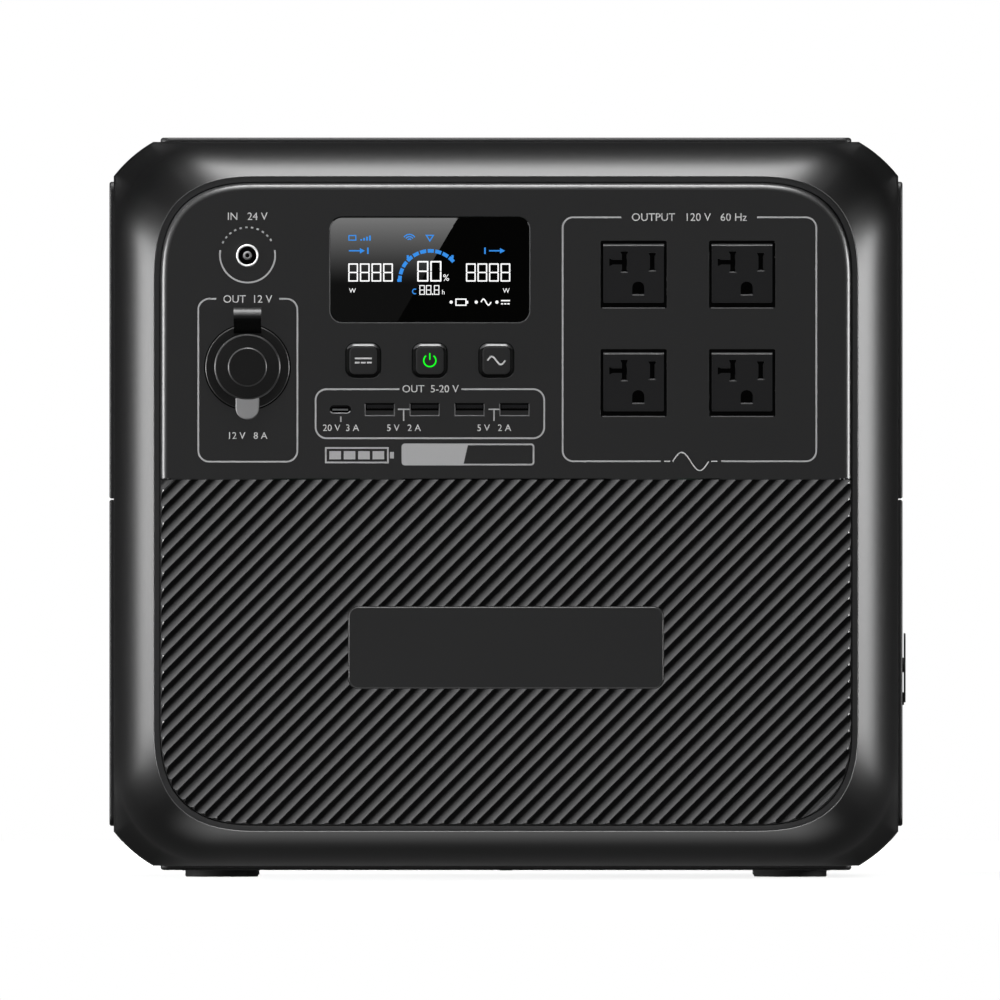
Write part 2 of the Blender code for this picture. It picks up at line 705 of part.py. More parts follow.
def make_side_covers():
    """Handle and vent covers of both sides, and the grip cups behind the handle covers."""
    corners = (COVER_CORNER_RADIUS,) * 4
    gap = SEAM / 2
    grip = rounded_box(SLEEVE_Y, GRIP_Z, GRIP_LENGTH + 2 * (GRIP_WALL + CLEARANCE),
                       GRIP_HEIGHT + 2 * (GRIP_WALL + CLEARANCE), GRIP_RADIUS + GRIP_WALL)
    upper = rounded_outline(SLEEVE_Y0, SLEEVE_Y1, SIDE_SPLIT_Z + gap, COVER_Z1, (0, 0) + corners[:2])
    lower = rounded_outline(SLEEVE_Y0, SLEEVE_Y1, COVER_Z0, SIDE_SPLIT_Z - gap, corners[:2] + (0, 0))
    inlet = rounded_box(INLET_Y, INLET_Z, INLET_BEZEL_WIDTH + 2 * CLEARANCE,
                        INLET_BEZEL_HEIGHT + 2 * CLEARANCE, INLET_BEZEL_RADIUS)
    breaker = circle(BREAKER_Y, INLET_Z, BREAKER_RADIUS + CLEARANCE)
    for side, sign in (("left", -1), ("right", 1)):
        level = sign * (WIDTH / 2 - COVER_MID)
        plate(side + "_handle_cover", [upper, grip], "side", level, COVER_THICKNESS, COVER, COVER_EDGE / 2)
        if sign < 0:
            holes = vent_slots(SLEEVE_Y, VENT_SLOTS_LEFT)
        else:
            holes = vent_slots(SLEEVE_Y - VENT_RIGHT_SHIFT, VENT_SLOTS_RIGHT) + [inlet, breaker]
        plate(side + "_vent_cover", [lower] + holes, "side", level, COVER_THICKNESS, COVER)
        make_grip(side + "_grip_cup", sign)


def make_grip(name, sign):
    """Hand grip cup, open to the outside."""
    outer = rounded_box(SLEEVE_Y, GRIP_Z, GRIP_LENGTH + 2 * GRIP_WALL, GRIP_HEIGHT + 2 * GRIP_WALL,
                        GRIP_RADIUS + GRIP_WALL)
    inner = rounded_box(SLEEVE_Y, GRIP_Z, GRIP_LENGTH, GRIP_HEIGHT, GRIP_RADIUS)
    total = GRIP_DEPTH + GRIP_WALL
    rim = WIDTH / 2 - COVER_EDGE / 2
    cup = plate(name, [outer], "side", sign * (rim - total / 2), total, MATTE)
    hollow = plate(name + "_hollow", [inner], "side", sign * rim, GRIP_DEPTH * 2, MATTE, helper=True)
    cut(cup, hollow)


def make_control_panel():
    """Upper front panel with its cut-outs."""
    outline = rounded_outline(-PANEL_X, PANEL_X, SPLIT_Z + SEAM / 2, PANEL_TOP, (0, 0, PANEL_RADIUS, PANEL_RADIUS),
                              steps=CORNER_STEPS)
    c = CLEARANCE
    holes = [rounded_box(DISPLAY_X, LENS_Z, LENS_WIDTH + 2 * c, LENS_HEIGHT + 2 * c, LENS_RADIUS)]
    for x in button_places():
        holes.append(rounded_box(x, BUTTON_Z, BUTTON_SIZE + 2 * c, BUTTON_SIZE + 2 * c, BUTTON_RADIUS))
    for x in usb_a_places():
        holes.append(rounded_box(x, USB_Z, USB_A_WIDTH + 2 * (PORT_WALL + c), USB_A_HEIGHT + 2 * (PORT_WALL + c), 0))
    width = USB_C_WIDTH + 2 * (PORT_WALL + c)
    height = USB_C_HEIGHT + 2 * (PORT_WALL + c)
    holes.append(rounded_box(DISPLAY_X + USB_C_OFFSET, USB_Z, width, height, height / 2))
    holes.append(circle(SOCKET_X, JACK_Z, JACK_RADIUS - JACK_FLANGE / 2 + c, SMALL_STEPS))
    holes.append(circle(SOCKET_X, SOCKET_Z, SOCKET_RADIUS + c))
    size = OUTLET_SIZE + 2 * OUTLET_GAP
    for x, z in outlet_places():
        holes.append(rounded_box(x, z, size, size, OUTLET_CORNER + OUTLET_GAP))
    plate("control_panel", [outline] + holes, "front", FRONT_Y + PANEL_THICKNESS / 2, PANEL_THICKNESS, MATTE)


def button_places():
    """Middle of each push button along X."""
    return [DISPLAY_X + index * BUTTON_SPACING for index in (-1, 0, 1)]


def usb_a_places():
    """Middle of each USB-A port along X."""
    return [DISPLAY_X + USB_A_FIRST + index * USB_A_SPACING for index in range(4)]


def outlet_places():
    """Middle of each outlet: top left, top right, low left, low right."""
    right = PANEL_X - OUTLET_COLUMN_INSET
    top = PANEL_TOP - OUTLET_DROP
    return [(right - dx * OUTLET_SPACING, top - dz * OUTLET_SPACING) for dz in (0, 1) for dx in (1, 0)]


def make_ribbed_panel():
    """Lower front panel: concave flutes at an angle, trimmed to the panel outline, with the plate's pocket."""
    crest = FRONT_Y + RIB_SETBACK
    middle_z = (PANEL_BOTTOM + SPLIT_Z) / 2
    reach = math.hypot(2 * PANEL_X, SPLIT_Z - PANEL_BOTTOM) / 2 + RIB_PITCH
    count = 2 * math.ceil(reach / RIB_PITCH) + 1
    chord = RIB_PITCH - RIB_CREST
    radius = (chord * chord / 4 + RIB_DEPTH * RIB_DEPTH) / (2 * RIB_DEPTH)
    points = []
    for flute in range(count):
        start = (flute - count / 2) * RIB_PITCH + RIB_CREST / 2
        for step in range(RIB_STEPS + 1):
            across = chord * step / RIB_STEPS
            sink = math.sqrt(radius * radius - (across - chord / 2) ** 2) - (radius - RIB_DEPTH)
            points.append((start + across, max(sink, 0.0)))
    back = PANEL_THICKNESS - RIB_SETBACK
    points += [(points[-1][0], back), (points[0][0], back)]
    slab = plate("flute_slab", [points], "top", 0.0, 2 * reach, MATTE, helper=True)
    tilt = math.cos(RIB_ANGLE)
    rise = math.sin(RIB_ANGLE)
    turn = Matrix(((rise, 0, tilt), (0, 1, 0), (-tilt, 0, rise))).to_4x4()
    slab.data.transform(Matrix.Translation((0, crest, middle_z)) @ turn)
    outline = rounded_outline(-PANEL_X, PANEL_X, PANEL_BOTTOM, SPLIT_Z - SEAM / 2, (PANEL_RADIUS, PANEL_RADIUS, 0, 0),
                              steps=CORNER_STEPS)
    panel = plate("ribbed_panel", [outline], "front", FRONT_Y + PANEL_THICKNESS / 2, PANEL_THICKNESS, MATTE)
    keep_inside(panel, slab)
    floor = FRONT_Y - PLATE_PROUD + PLATE_THICKNESS + CLEARANCE
    plate_z = SPLIT_Z - PLATE_DROP
    size = (PLATE_WIDTH + 2 * CLEARANCE, PLATE_HEIGHT + 2 * CLEARANCE)
    pocket = plate("plate_pocket", [rounded_box(0, plate_z, *size, PLATE_RADIUS)], "front", FRONT_Y,
                   2 * (floor - FRONT_Y), MATTE, helper=True)
    cut(panel, pocket)
    plate("name_plate", [rounded_box(0, plate_z, PLATE_WIDTH, PLATE_HEIGHT, PLATE_RADIUS)], "front",
          FRONT_Y - PLATE_PROUD + PLATE_THICKNESS / 2, PLATE_THICKNESS, MATTE, edge=OUTLET_EDGE)


def make_rear():
    """Rear frame and the plain rear panel that fills its opening."""
    make_frame("rear_frame", REAR_Y, -1)
    half_x = OPENING_X - REAR_PANEL_INSET
    half_z = OPENING_H - REAR_PANEL_INSET
    outline = rounded_box(0, FRAME_Z, 2 * half_x, 2 * half_z, OPENING_RADIUS - REAR_PANEL_INSET, CORNER_STEPS)
    plate("rear_panel", [outline], "front", REAR_Y - PANEL_THICKNESS / 2, PANEL_THICKNESS, MATTE, edge=PANEL_EDGE)


def make_display():
    """Lens in its cut-out and the display module behind the panel."""
    plate("display_lens", [rounded_box(DISPLAY_X, LENS_Z, LENS_WIDTH, LENS_HEIGHT, LENS_RADIUS)], "front",
          FRONT_Y + LENS_THICKNESS / 2, LENS_THICKNESS, GLASS, edge=OUTLET_EDGE)
    half_width = LENS_WIDTH / 2 + MODULE_BORDER
    half_height = LENS_HEIGHT / 2 + MODULE_BORDER
    front = PANEL_BACK + CLEARANCE
    block("display_module", (DISPLAY_X - half_width, front, LENS_Z - half_height),
          (DISPLAY_X + half_width, front + MODULE_THICKNESS, LENS_Z + half_height), BOARD)


def make_buttons():
    """Three push buttons with a flange behind the panel, and the board with their switches."""
    names = ("dc_button", "power_button", "ac_button")
    front = FRONT_Y - BUTTON_PROUD
    flange_y = PANEL_BACK + CLEARANCE
    overlap = BUTTON_FLANGE / 2
    cap_back = flange_y + overlap
    for name, x in zip(names, button_places()):
        cap = plate(name, [rounded_box(x, BUTTON_Z, BUTTON_SIZE, BUTTON_SIZE, BUTTON_RADIUS)], "front",
                    (front + cap_back) / 2, cap_back - front, MATTE, edge=BUTTON_EDGE)
        reach = BUTTON_SIZE / 2 + BUTTON_FLANGE
        join(cap, block(name + "_flange", (x - reach, flange_y, BUTTON_Z - reach),
                        (x + reach, flange_y + BUTTON_FLANGE, BUTTON_Z + reach), MATTE, helper=True))
        half = BUTTON_STEM / 2
        join(cap, block(name + "_stem", (x - half, flange_y + overlap, BUTTON_Z - half),
                        (x + half, flange_y + BUTTON_FLANGE + BUTTON_STEM_LENGTH, BUTTON_Z + half), MATTE,
                        helper=True))
    switch_front = flange_y + BUTTON_FLANGE + BUTTON_STEM_LENGTH + BUTTON_TRAVEL + CLEARANCE
    board_y = switch_front + SWITCH_HEIGHT
    end = BUTTON_SPACING + BUTTON_SIZE
    side = BUTTON_SIZE / 2
    board = block("button_board", (DISPLAY_X - end, board_y, BUTTON_Z - side),
                  (DISPLAY_X + end, board_y + BOARD_THICKNESS, BUTTON_Z + side), BOARD)
    for index, x in enumerate(button_places()):
        half = SWITCH_SIZE / 2
        join(board, block(f"switch_{index}", (x - half, switch_front, BUTTON_Z - half),
                          (x + half, board_y + BOARD_THICKNESS / 2, BUTTON_Z + half), BOARD, helper=True))
    for index, sign in enumerate((-1, 1)):
        x = DISPLAY_X + sign * BUTTON_SPACING / 2
        length = board_y + BOARD_THICKNESS / 2 - PANEL_BACK - CLEARANCE
        join(board, turned(f"board_spacer_{index}", ((0, 0), (SPACER_RADIUS, 0), (SPACER_RADIUS, -length), (0, -length)),
                           (0, -1, 0), (x, PANEL_BACK + CLEARANCE, BUTTON_Z), BOARD, closed=False,
                           steps=SPACER_STEPS, helper=True))


def make_port(name, x, width, height, depth, tongue, tongue_share, radius):
    """Port: a thin metal mouth, closed at the back, with a tongue inside."""
    front = FRONT_Y + PORT_SETBACK
    outer = rounded_box(x, USB_Z, width + 2 * PORT_WALL, height + 2 * PORT_WALL, radius + PORT_WALL if radius else 0)
    inner = rounded_box(x, USB_Z, width, height, radius)
    mouth = plate(name, [outer, inner], "front", front + depth / 2, depth, METAL)
    overlap = PORT_BACK / 2
    back = plate(name + "_back", [outer], "front", front + depth - overlap + PORT_BACK / 2, PORT_BACK, METAL,
                 helper=True)
    join(mouth, back)
    half = width * tongue_share / 2
    join(mouth, block(name + "_tongue", (x - half, front + depth / 5, USB_Z - tongue / 2),
                      (x + half, front + depth, USB_Z + tongue / 2), METAL, helper=True))
    return front + depth - overlap + PORT_BACK


def make_ports():
    """Five USB ports on their board."""
    back = 0.0
    for index, x in enumerate(usb_a_places()):
        back = make_port(f"usb_a_port_{index + 1}", x, USB_A_WIDTH, USB_A_HEIGHT, USB_A_DEPTH, USB_A_TONGUE, 0.88, 0)
    radius = USB_C_HEIGHT / 2
    x = DISPLAY_X + USB_C_OFFSET
    far = make_port("usb_c_port", x, USB_C_WIDTH, USB_C_HEIGHT, USB_C_DEPTH, USB_C_TONGUE, 0.76, radius * 0.98)
    board_y = back + CLEARANCE
    edge = USB_A_SPACING / 2
    board = block("port_board", (x - edge, board_y, USB_Z - edge),
                  (usb_a_places()[-1] + edge, board_y + BOARD_THICKNESS, USB_Z + edge), BOARD)
    half = USB_C_WIDTH / 2
    join(board, block("usb_c_riser", (x - half, far + CLEARANCE, USB_Z - radius),
                      (x + half, board_y + BOARD_THICKNESS / 2, USB_Z + radius), BOARD, helper=True))


def make_jack():
    """Round direct-current jack: metal ring and its insulated core with a hollow pin."""
    tube = JACK_RADIUS - JACK_FLANGE / 2
    proud = JACK_PROUD
    front = FRONT_Y - CLEARANCE
    turned("dc_jack_ring", ((JACK_BORE, proud), (JACK_RADIUS, proud), (JACK_RADIUS, 0), (tube, 0), (tube, -JACK_DEPTH),
                            (JACK_BORE, -JACK_DEPTH)),
           (0, -1, 0), (SOCKET_X, front, JACK_Z), METAL, steps=SMALL_STEPS)
    core = JACK_BORE - CLEARANCE
    floor = -JACK_DEPTH * 0.7
    back = -JACK_DEPTH * 1.3
    turned("dc_jack_core", ((0, floor), (JACK_PIN_BORE, floor), (JACK_PIN_BORE, -proud), (JACK_PIN_RADIUS, -proud),
                            (JACK_PIN_RADIUS, floor), (core, floor), (core, back), (0, back)),
           (0, -1, 0), (SOCKET_X, front, JACK_Z), METAL, closed=False, steps=SMALL_STEPS)


def make_car_socket():
    """Car socket barrel with its flange, clamp nut, centre contact and hinged rubber cover."""
    axis = (0, -1, 0)
    origin = (SOCKET_X, FRONT_Y, SOCKET_Z)
    back = -SOCKET_DEPTH
    turned("car_socket_barrel",
           ((SOCKET_BORE, SOCKET_FLANGE), (SOCKET_FLANGE_RADIUS - OUTLET_EDGE, SOCKET_FLANGE),
            (SOCKET_FLANGE_RADIUS, SOCKET_FLANGE - OUTLET_EDGE), (SOCKET_FLANGE_RADIUS, CLEARANCE),
            (SOCKET_RADIUS, CLEARANCE), (SOCKET_RADIUS, back), (CONTACT_RADIUS / 2, back),
            (CONTACT_RADIUS / 2, back + SOCKET_FLOOR), (SOCKET_BORE, back + SOCKET_FLOOR)),
           axis, origin, RUBBER)
    nut_front = -PANEL_THICKNESS - CLEARANCE
    nut_inner = SOCKET_RADIUS + CLEARANCE
    nut_outer = nut_inner + SOCKET_NUT_WIDTH
    nut_back = nut_front - SOCKET_NUT_LENGTH
    turned("car_socket_nut", ((nut_inner, nut_front), (nut_outer, nut_front), (nut_outer, nut_back),
                              (nut_inner, nut_back)), axis, origin, METAL)
    head = back + SOCKET_FLOOR + CLEARANCE
    pin = CONTACT_RADIUS / 2 - CLEARANCE
    tail = back - SOCKET_FLOOR
    turned("car_socket_contact", ((0, head + CONTACT_HEIGHT), (CONTACT_RADIUS, head + CONTACT_HEIGHT),
                                  (CONTACT_RADIUS, head), (pin, head), (pin, tail), (0, tail)),
           axis, origin, METAL, closed=False, steps=SMALL_STEPS)
    make_socket_cover()


def make_socket_cover():
    """Rubber cover: plug, disc and raised middle in one turned shape, with its strap, roll and tab."""
    under = SOCKET_FLANGE + CLEARANCE
    face = under + CAP_THICKNESS
    crown = face + CAP_RISE
    hinge_y = FRONT_Y - CLEARANCE - STRAP_ROLL_RADIUS
    hinge_z = SOCKET_Z + STRAP_LENGTH
    cover = turned("car_socket_cover",
                   ((0, crown), (CAP_RISE_RADIUS - CAP_RISE, crown), (CAP_RISE_RADIUS, face),
                    (CAP_RADIUS - OUTLET_EDGE, face), (CAP_RADIUS, face - OUTLET_EDGE), (CAP_RADIUS, under),
                    (CAP_PLUG_RADIUS, under), (CAP_PLUG_RADIUS - OUTLET_EDGE, under - CAP_PLUG_DEPTH),
                    (0, under - CAP_PLUG_DEPTH)),
                   (0, -1, 0), (SOCKET_X, FRONT_Y, SOCKET_Z), RUBBER, closed=False)
    half = STRAP_WIDTH / 2
    strap_back = FRONT_Y - under
    join(cover, block("cover_strap", (SOCKET_X - half, strap_back - STRAP_THICKNESS, SOCKET_Z + CAP_RISE_RADIUS),
                      (SOCKET_X + half, strap_back, hinge_z), RUBBER, helper=True))
    roll = STRAP_ROLL_RADIUS
    join(cover, turned("cover_roll", ((0, half), (roll, half), (roll, -half), (0, -half)), (1, 0, 0),
                       (SOCKET_X, hinge_y, hinge_z), RUBBER, closed=False, steps=SMALL_STEPS, helper=True))
    radius = TAB_WIDTH / 2
    tab = rounded_outline(SOCKET_X - radius, SOCKET_X + radius, SOCKET_Z - TAB_REACH, SOCKET_Z - CAP_RISE_RADIUS,
                          (radius * 0.98, radius * 0.98, 0, 0))
    join(cover, plate("cover_tab", [tab], "front", strap_back - STRAP_THICKNESS / 2, STRAP_THICKNESS, RUBBER,
                      helper=True))


def slot_outlines(x, z):
    """Openings of one outlet: plain slot, T-slot and the ground hole, flat below and round above."""
    mid_x = x + SLOT_OFFSET
    mid_z = z + SLOT_RISE
    half = SLOT_WIDTH / 2
    right = mid_x + SLOT_PITCH / 2
    left = mid_x - SLOT_PITCH / 2
    plain = rounded_box(right, mid_z, SLOT_WIDTH, SLOT_HEIGHT, 0)
    top = T_SLOT_HEIGHT / 2
    leg = left - half - T_SLOT_LEG
    tee = [(left - half, mid_z - top), (left + half, mid_z - top), (left + half, mid_z + top),
           (left - half, mid_z + top), (left - half, mid_z + half), (leg, mid_z + half), (leg, mid_z - half),
           (left - half, mid_z - half)]
    ground_z = z - GROUND_DROP
    radius = GROUND_WIDTH / 2
    ground = rounded_outline(mid_x - radius, mid_x + radius, ground_z - GROUND_HEIGHT / 2,
                             ground_z + GROUND_HEIGHT / 2, (0, 0, radius * 0.98, radius * 0.98))
    return [plain, tee, ground]


def make_outlets():
    """Four mains outlets and the board behind them."""
    face = FRONT_Y + OUTLET_SETBACK
    back_y = face + OUTLET_FACE_DEPTH
    for index, (x, z) in enumerate(outlet_places()):
        name = f"ac_outlet_{index + 1}"
        front = plate(name, [rounded_box(x, z, OUTLET_SIZE, OUTLET_SIZE, OUTLET_CORNER)] + slot_outlines(x, z),
                      "front", face + OUTLET_FACE_DEPTH / 2, OUTLET_FACE_DEPTH, COVER, edge=OUTLET_EDGE)
        half = OUTLET_SIZE / 2 + OUTLET_FLANGE
        join(front, block(name + "_base", (x - half, back_y - OUTLET_EDGE * 2, z - half),
                          (x + half, back_y + OUTLET_BACK_DEPTH, z + half), COVER, helper=True))
        lip = OUTLET_SIZE / 2 + OUTLET_GAP + OUTLET_FLANGE / 2
        collar = block(name + "_collar", (x - lip, PANEL_BACK + CLEARANCE, z - lip),
                       (x + lip, PANEL_BACK + CLEARANCE + OUTLET_FLANGE, z + lip), COVER, helper=True)
        inner = OUTLET_SIZE / 2 - OUTLET_EDGE * 2
        core = block(name + "_core", (x - inner, FRONT_Y, z - inner), (x + inner, back_y, z + inner), COVER, helper=True)
        cut(collar, core)
        join(front, collar)
    places = outlet_places()
    margin = OUTLET_SIZE / 2 + OUTLET_FLANGE
    board_y = back_y + OUTLET_BACK_DEPTH + CLEARANCE
    block("outlet_board", (places[2][0] - margin, board_y, places[2][1] - margin),
          (places[1][0] + margin, board_y + BOARD_THICKNESS, places[1][1] + margin), BOARD)


def make_inlet():
    """Mains inlet: bezel with its cup, contacts on a carrier behind it, and the hinged rubber flap."""
    bezel = plate("ac_inlet", [rounded_box(INLET_Y, INLET_Z, INLET_BEZEL_WIDTH, INLET_BEZEL_HEIGHT, INLET_BEZEL_RADIUS)],
                  "side", INLET_FACE - INLET_BEZEL_THICKNESS / 2, INLET_BEZEL_THICKNESS - 2 * CLEARANCE, COVER)
    cup_end = INLET_FLOOR - INLET_DEPTH - INLET_WALL
    half_y = INLET_WIDTH / 2
    half_z = INLET_HEIGHT / 2
    wall = INLET_WALL
    join(bezel, block("inlet_cup", (cup_end, INLET_Y - half_y - wall, INLET_Z - half_z - wall),
                      (INLET_FACE - INLET_BEZEL_THICKNESS / 2, INLET_Y + half_y + wall, INLET_Z + half_z + wall), COVER,
                      helper=True))
    gap = INLET_FLAP_GAP
    flap_y = INLET_FLAP_WIDTH / 2
    flap_z = INLET_FLAP_HEIGHT / 2
    cut(bezel, block("flap_recess", (INLET_FLOOR, INLET_Y - flap_y - gap, INLET_Z - flap_z - gap),
                     (INLET_FACE + INLET_BEZEL_THICKNESS, INLET_Y + flap_y + gap, INLET_Z + flap_z + gap), COVER,
                     helper=True))
    cut(bezel, block("inlet_hollow", (INLET_FLOOR - INLET_DEPTH, INLET_Y - half_y, INLET_Z - half_z),
                     (INLET_FACE + wall, INLET_Y + half_y, INLET_Z + half_z), COVER, helper=True))
    carrier = block("ac_inlet_contacts", (cup_end - CLEARANCE - wall, INLET_Y - half_y, INLET_Z - half_z),
                    (cup_end - CLEARANCE, INLET_Y + half_y, INLET_Z + half_z), METAL)
    pins = ((-INLET_PIN_PITCH / 2, -INLET_PIN_DROP), (0.0, INLET_GROUND_RISE + INLET_PIN_DROP),
            (INLET_PIN_PITCH / 2, -INLET_PIN_DROP))
    for index, (dy, dz) in enumerate(pins):
        y = INLET_Y + dy
        z = INLET_Z + dz
        half_w = INLET_PIN_WIDTH / 2
        half_h = INLET_PIN_HEIGHT / 2
        tip = INLET_FLOOR - INLET_DEPTH + INLET_PIN_LENGTH
        join(carrier, block(f"inlet_pin_{index}", (cup_end - CLEARANCE - wall / 2, y - half_w, z - half_h),
                            (tip, y + half_w, z + half_h), METAL, helper=True))
        c = CLEARANCE
        cut(bezel, block(f"inlet_pin_hole_{index}", (cup_end - wall, y - half_w - c, z - half_h - c),
                         (INLET_FLOOR - INLET_DEPTH + wall, y + half_w + c, z + half_h + c), COVER, helper=True))
    make_inlet_flap()


def make_inlet_flap():
    """Rubber flap of the inlet, round at its hinge edge, with a pull tab at its low edge."""
    low_x = INLET_FLOOR + CLEARANCE
    high_x = low_x + INLET_FLAP_THICKNESS
    half_y = INLET_FLAP_WIDTH / 2
    bottom = INLET_Z - INLET_FLAP_HEIGHT / 2
    roll = INLET_FLAP_THICKNESS / 2
    hinge_z = INLET_Z + INLET_FLAP_HEIGHT / 2 - roll
    flap = block("ac_inlet_cover", (low_x, INLET_Y - half_y, bottom), (high_x, INLET_Y + half_y, hinge_z), RUBBER)
    join(flap, turned("flap_roll", ((0, half_y), (roll, half_y), (roll, -half_y), (0, -half_y)), (0, 1, 0),
                      ((low_x + high_x) / 2, INLET_Y, hinge_z), RUBBER, closed=False, steps=SMALL_STEPS,
                      helper=True))
    half_tab = INLET_TAB_WIDTH / 2
    join(flap, block("flap_tab", (high_x - roll, INLET_Y - half_tab, bottom + OUTLET_EDGE),
                     (high_x + INLET_TAB_PROUD, INLET_Y + half_tab, bottom + INLET_TAB_HEIGHT), RUBBER, helper=True))


def make_breaker():
    """Overload breaker through the right side, with its reset button."""
    face = WIDTH / 2 + BREAKER_PROUD
    axis = (1, 0, 0)
    origin = (face, BREAKER_Y, INLET_Z)
    bore = BREAKER_BUTTON_RADIUS + CLEARANCE
    seat = -(face - SLEEVE_X - CLEARANCE)
    floor = -BREAKER_BUTTON_LENGTH - CLEARANCE
    end = seat - BREAKER_BODY_LENGTH
    turned("breaker_body", ((0, floor), (bore, floor), (bore, 0), (BREAKER_RADIUS, 0), (BREAKER_RADIUS, seat),
                            (BREAKER_BODY_RADIUS, seat), (BREAKER_BODY_RADIUS, end), (0, end)),
           axis, origin, COVER, closed=False, steps=SMALL_STEPS)
    turned("breaker_button", ((0, BREAKER_PROUD), (BREAKER_BUTTON_RADIUS, BREAKER_PROUD),
                              (BREAKER_BUTTON_RADIUS, -BREAKER_BUTTON_LENGTH), (0, -BREAKER_BUTTON_LENGTH)),
           axis, origin, RUBBER, closed=False, steps=SMALL_STEPS)


def make_fan(index, y):
    """Cooling fan on the inner left wall: square frame with its hub mount, and a bladed rotor."""
    outer_x = -INNER_X + CLEARANCE
    inner_x = outer_x + FAN_THICKNESS
    frame = plate(f"fan_frame_{index}", [rounded_box(y, VENT_Z, FAN_SIZE, FAN_SIZE, 0), circle(y, VENT_Z, FAN_BORE)],
                  "side", (outer_x + inner_x) / 2, FAN_THICKNESS, COVER)
    mount_x = inner_x - FAN_MOUNT_THICKNESS
    join(frame, turned(f"fan_mount_{index}", ((0, FAN_MOUNT_THICKNESS), (FAN_HUB_RADIUS, FAN_MOUNT_THICKNESS),
                                              (FAN_HUB_RADIUS, 0), (0, 0)), (1, 0, 0), (mount_x, y, VENT_Z), COVER,
                       closed=False, steps=SMALL_STEPS, helper=True))
    reach = FAN_BORE + FAN_STRUT / 4
    half = FAN_STRUT / 2
    inset = FAN_MOUNT_THICKNESS / 6
    join(frame, block(f"fan_strut_up_{index}", (mount_x + inset, y - half, VENT_Z - reach),
                      (inner_x - inset, y + half, VENT_Z + reach), COVER, helper=True))
    join(frame, block(f"fan_strut_across_{index}", (mount_x + 2 * inset, y - reach, VENT_Z - half),
                      (inner_x - 2 * inset, y + reach, VENT_Z + half), COVER, helper=True))
    length = mount_x - CLEARANCE - outer_x - FAN_TIP_GAP
    rotor = turned(f"fan_rotor_{index}", ((0, 0), (FAN_HUB_RADIUS, 0), (FAN_HUB_RADIUS, -length), (0, -length)),
                   (1, 0, 0), (mount_x - CLEARANCE, y, VENT_Z), RUBBER, closed=False, steps=SMALL_STEPS)
    bm = bmesh.new()
    root = FAN_HUB_RADIUS * 0.8
    tip = FAN_BORE - FAN_TIP_GAP
    for blade in range(FAN_BLADES):
        made = bmesh.ops.create_cube(bm, size=1.0)["verts"]
        bmesh.ops.scale(bm, vec=(FAN_BLADE_CHORD, FAN_BLADE_THICKNESS, tip - root), verts=made)
        bmesh.ops.rotate(bm, cent=(0, 0, 0), matrix=Matrix.Rotation(FAN_BLADE_PITCH, 3, "Z"), verts=made)
        bmesh.ops.translate(bm, vec=(0, 0, (tip + root) / 2), verts=made)
        turn = Matrix.Rotation(blade * 2 * math.pi / FAN_BLADES, 3, "X")
        bmesh.ops.rotate(bm, cent=(0, 0, 0), matrix=turn, verts=made)
    bmesh.ops.translate(bm, vec=(mount_x - CLEARANCE - length / 2, y, VENT_Z), verts=bm.verts)
    join(rotor, from_bmesh(bm, f"fan_blades_{index}", RUBBER, helper=True))


def make_battery():
    """Tray on the sleeve's floor, the row of cells in it and the management board above."""
    floor = INNER_BOTTOM + CLEARANCE
    leg = SHELF_THICKNESS + CLEARANCE
    half = INNER_X - FAN_THICKNESS - 3 * CLEARANCE - leg
    y0 = SLEEVE_Y0 + TRAY_MARGIN
    y1 = INLET_Y - INLET_WIDTH / 2 - INLET_WALL - TRAY_MARGIN
    tray = block("battery_tray", (-half, y0, floor), (half, y1, floor + TRAY_HEIGHT), SHEET)
    wall = TRAY_WALL
    cut(tray, block("tray_hollow", (-half + wall, y0 + wall, floor + wall),
                    (half - wall, y1 - wall, floor + TRAY_HEIGHT * 2), SHEET, helper=True))
    c = CLEARANCE
    cell_low = floor + wall + c
    cell_top = cell_low + CELL_HEIGHT
    cell_half = half - wall - c
    pitch = 2 * cell_half / CELL_COUNT
    groove = pitch * CELL_SEAM_SHARE
    near = y0 + wall + c
    far = y1 - wall - c
    points = [(-cell_half, near)]
    for index in range(1, CELL_COUNT):
        x = -cell_half + index * pitch
        points += [(x - groove / 2, near), (x, near + CELL_GROOVE), (x + groove / 2, near)]
    points += [(cell_half, near), (cell_half, far), (-cell_half, far)]
    plate("battery_cells", [points], "top", (cell_low + cell_top) / 2, CELL_HEIGHT, CELLS)
    margin = pitch
    board_z = cell_top + BMS_GAP
    bms = block("bms_board", (-cell_half + margin, near + margin, board_z),
                (cell_half - margin, far - margin, board_z + BOARD_THICKNESS), BOARD)
    for index, sign in enumerate((-1, 1)):
        x = sign * (cell_half - 2 * margin)
        join(bms, block(f"bms_bar_{index}", (x - margin / 2, near + 2 * margin, cell_top + c),
                        (x + margin / 2, far - 2 * margin, board_z + BOARD_THICKNESS / 2), BOARD, helper=True))
    join(bms, block("bms_parts", (-margin, near + 2 * margin, board_z + BOARD_THICKNESS / 2),
                    (margin, far - 2 * margin, board_z + BMS_HEIGHT), BOARD, helper=True))
    make_electronics(half + c, y0, y1, cell_top + SHELF_GAP)


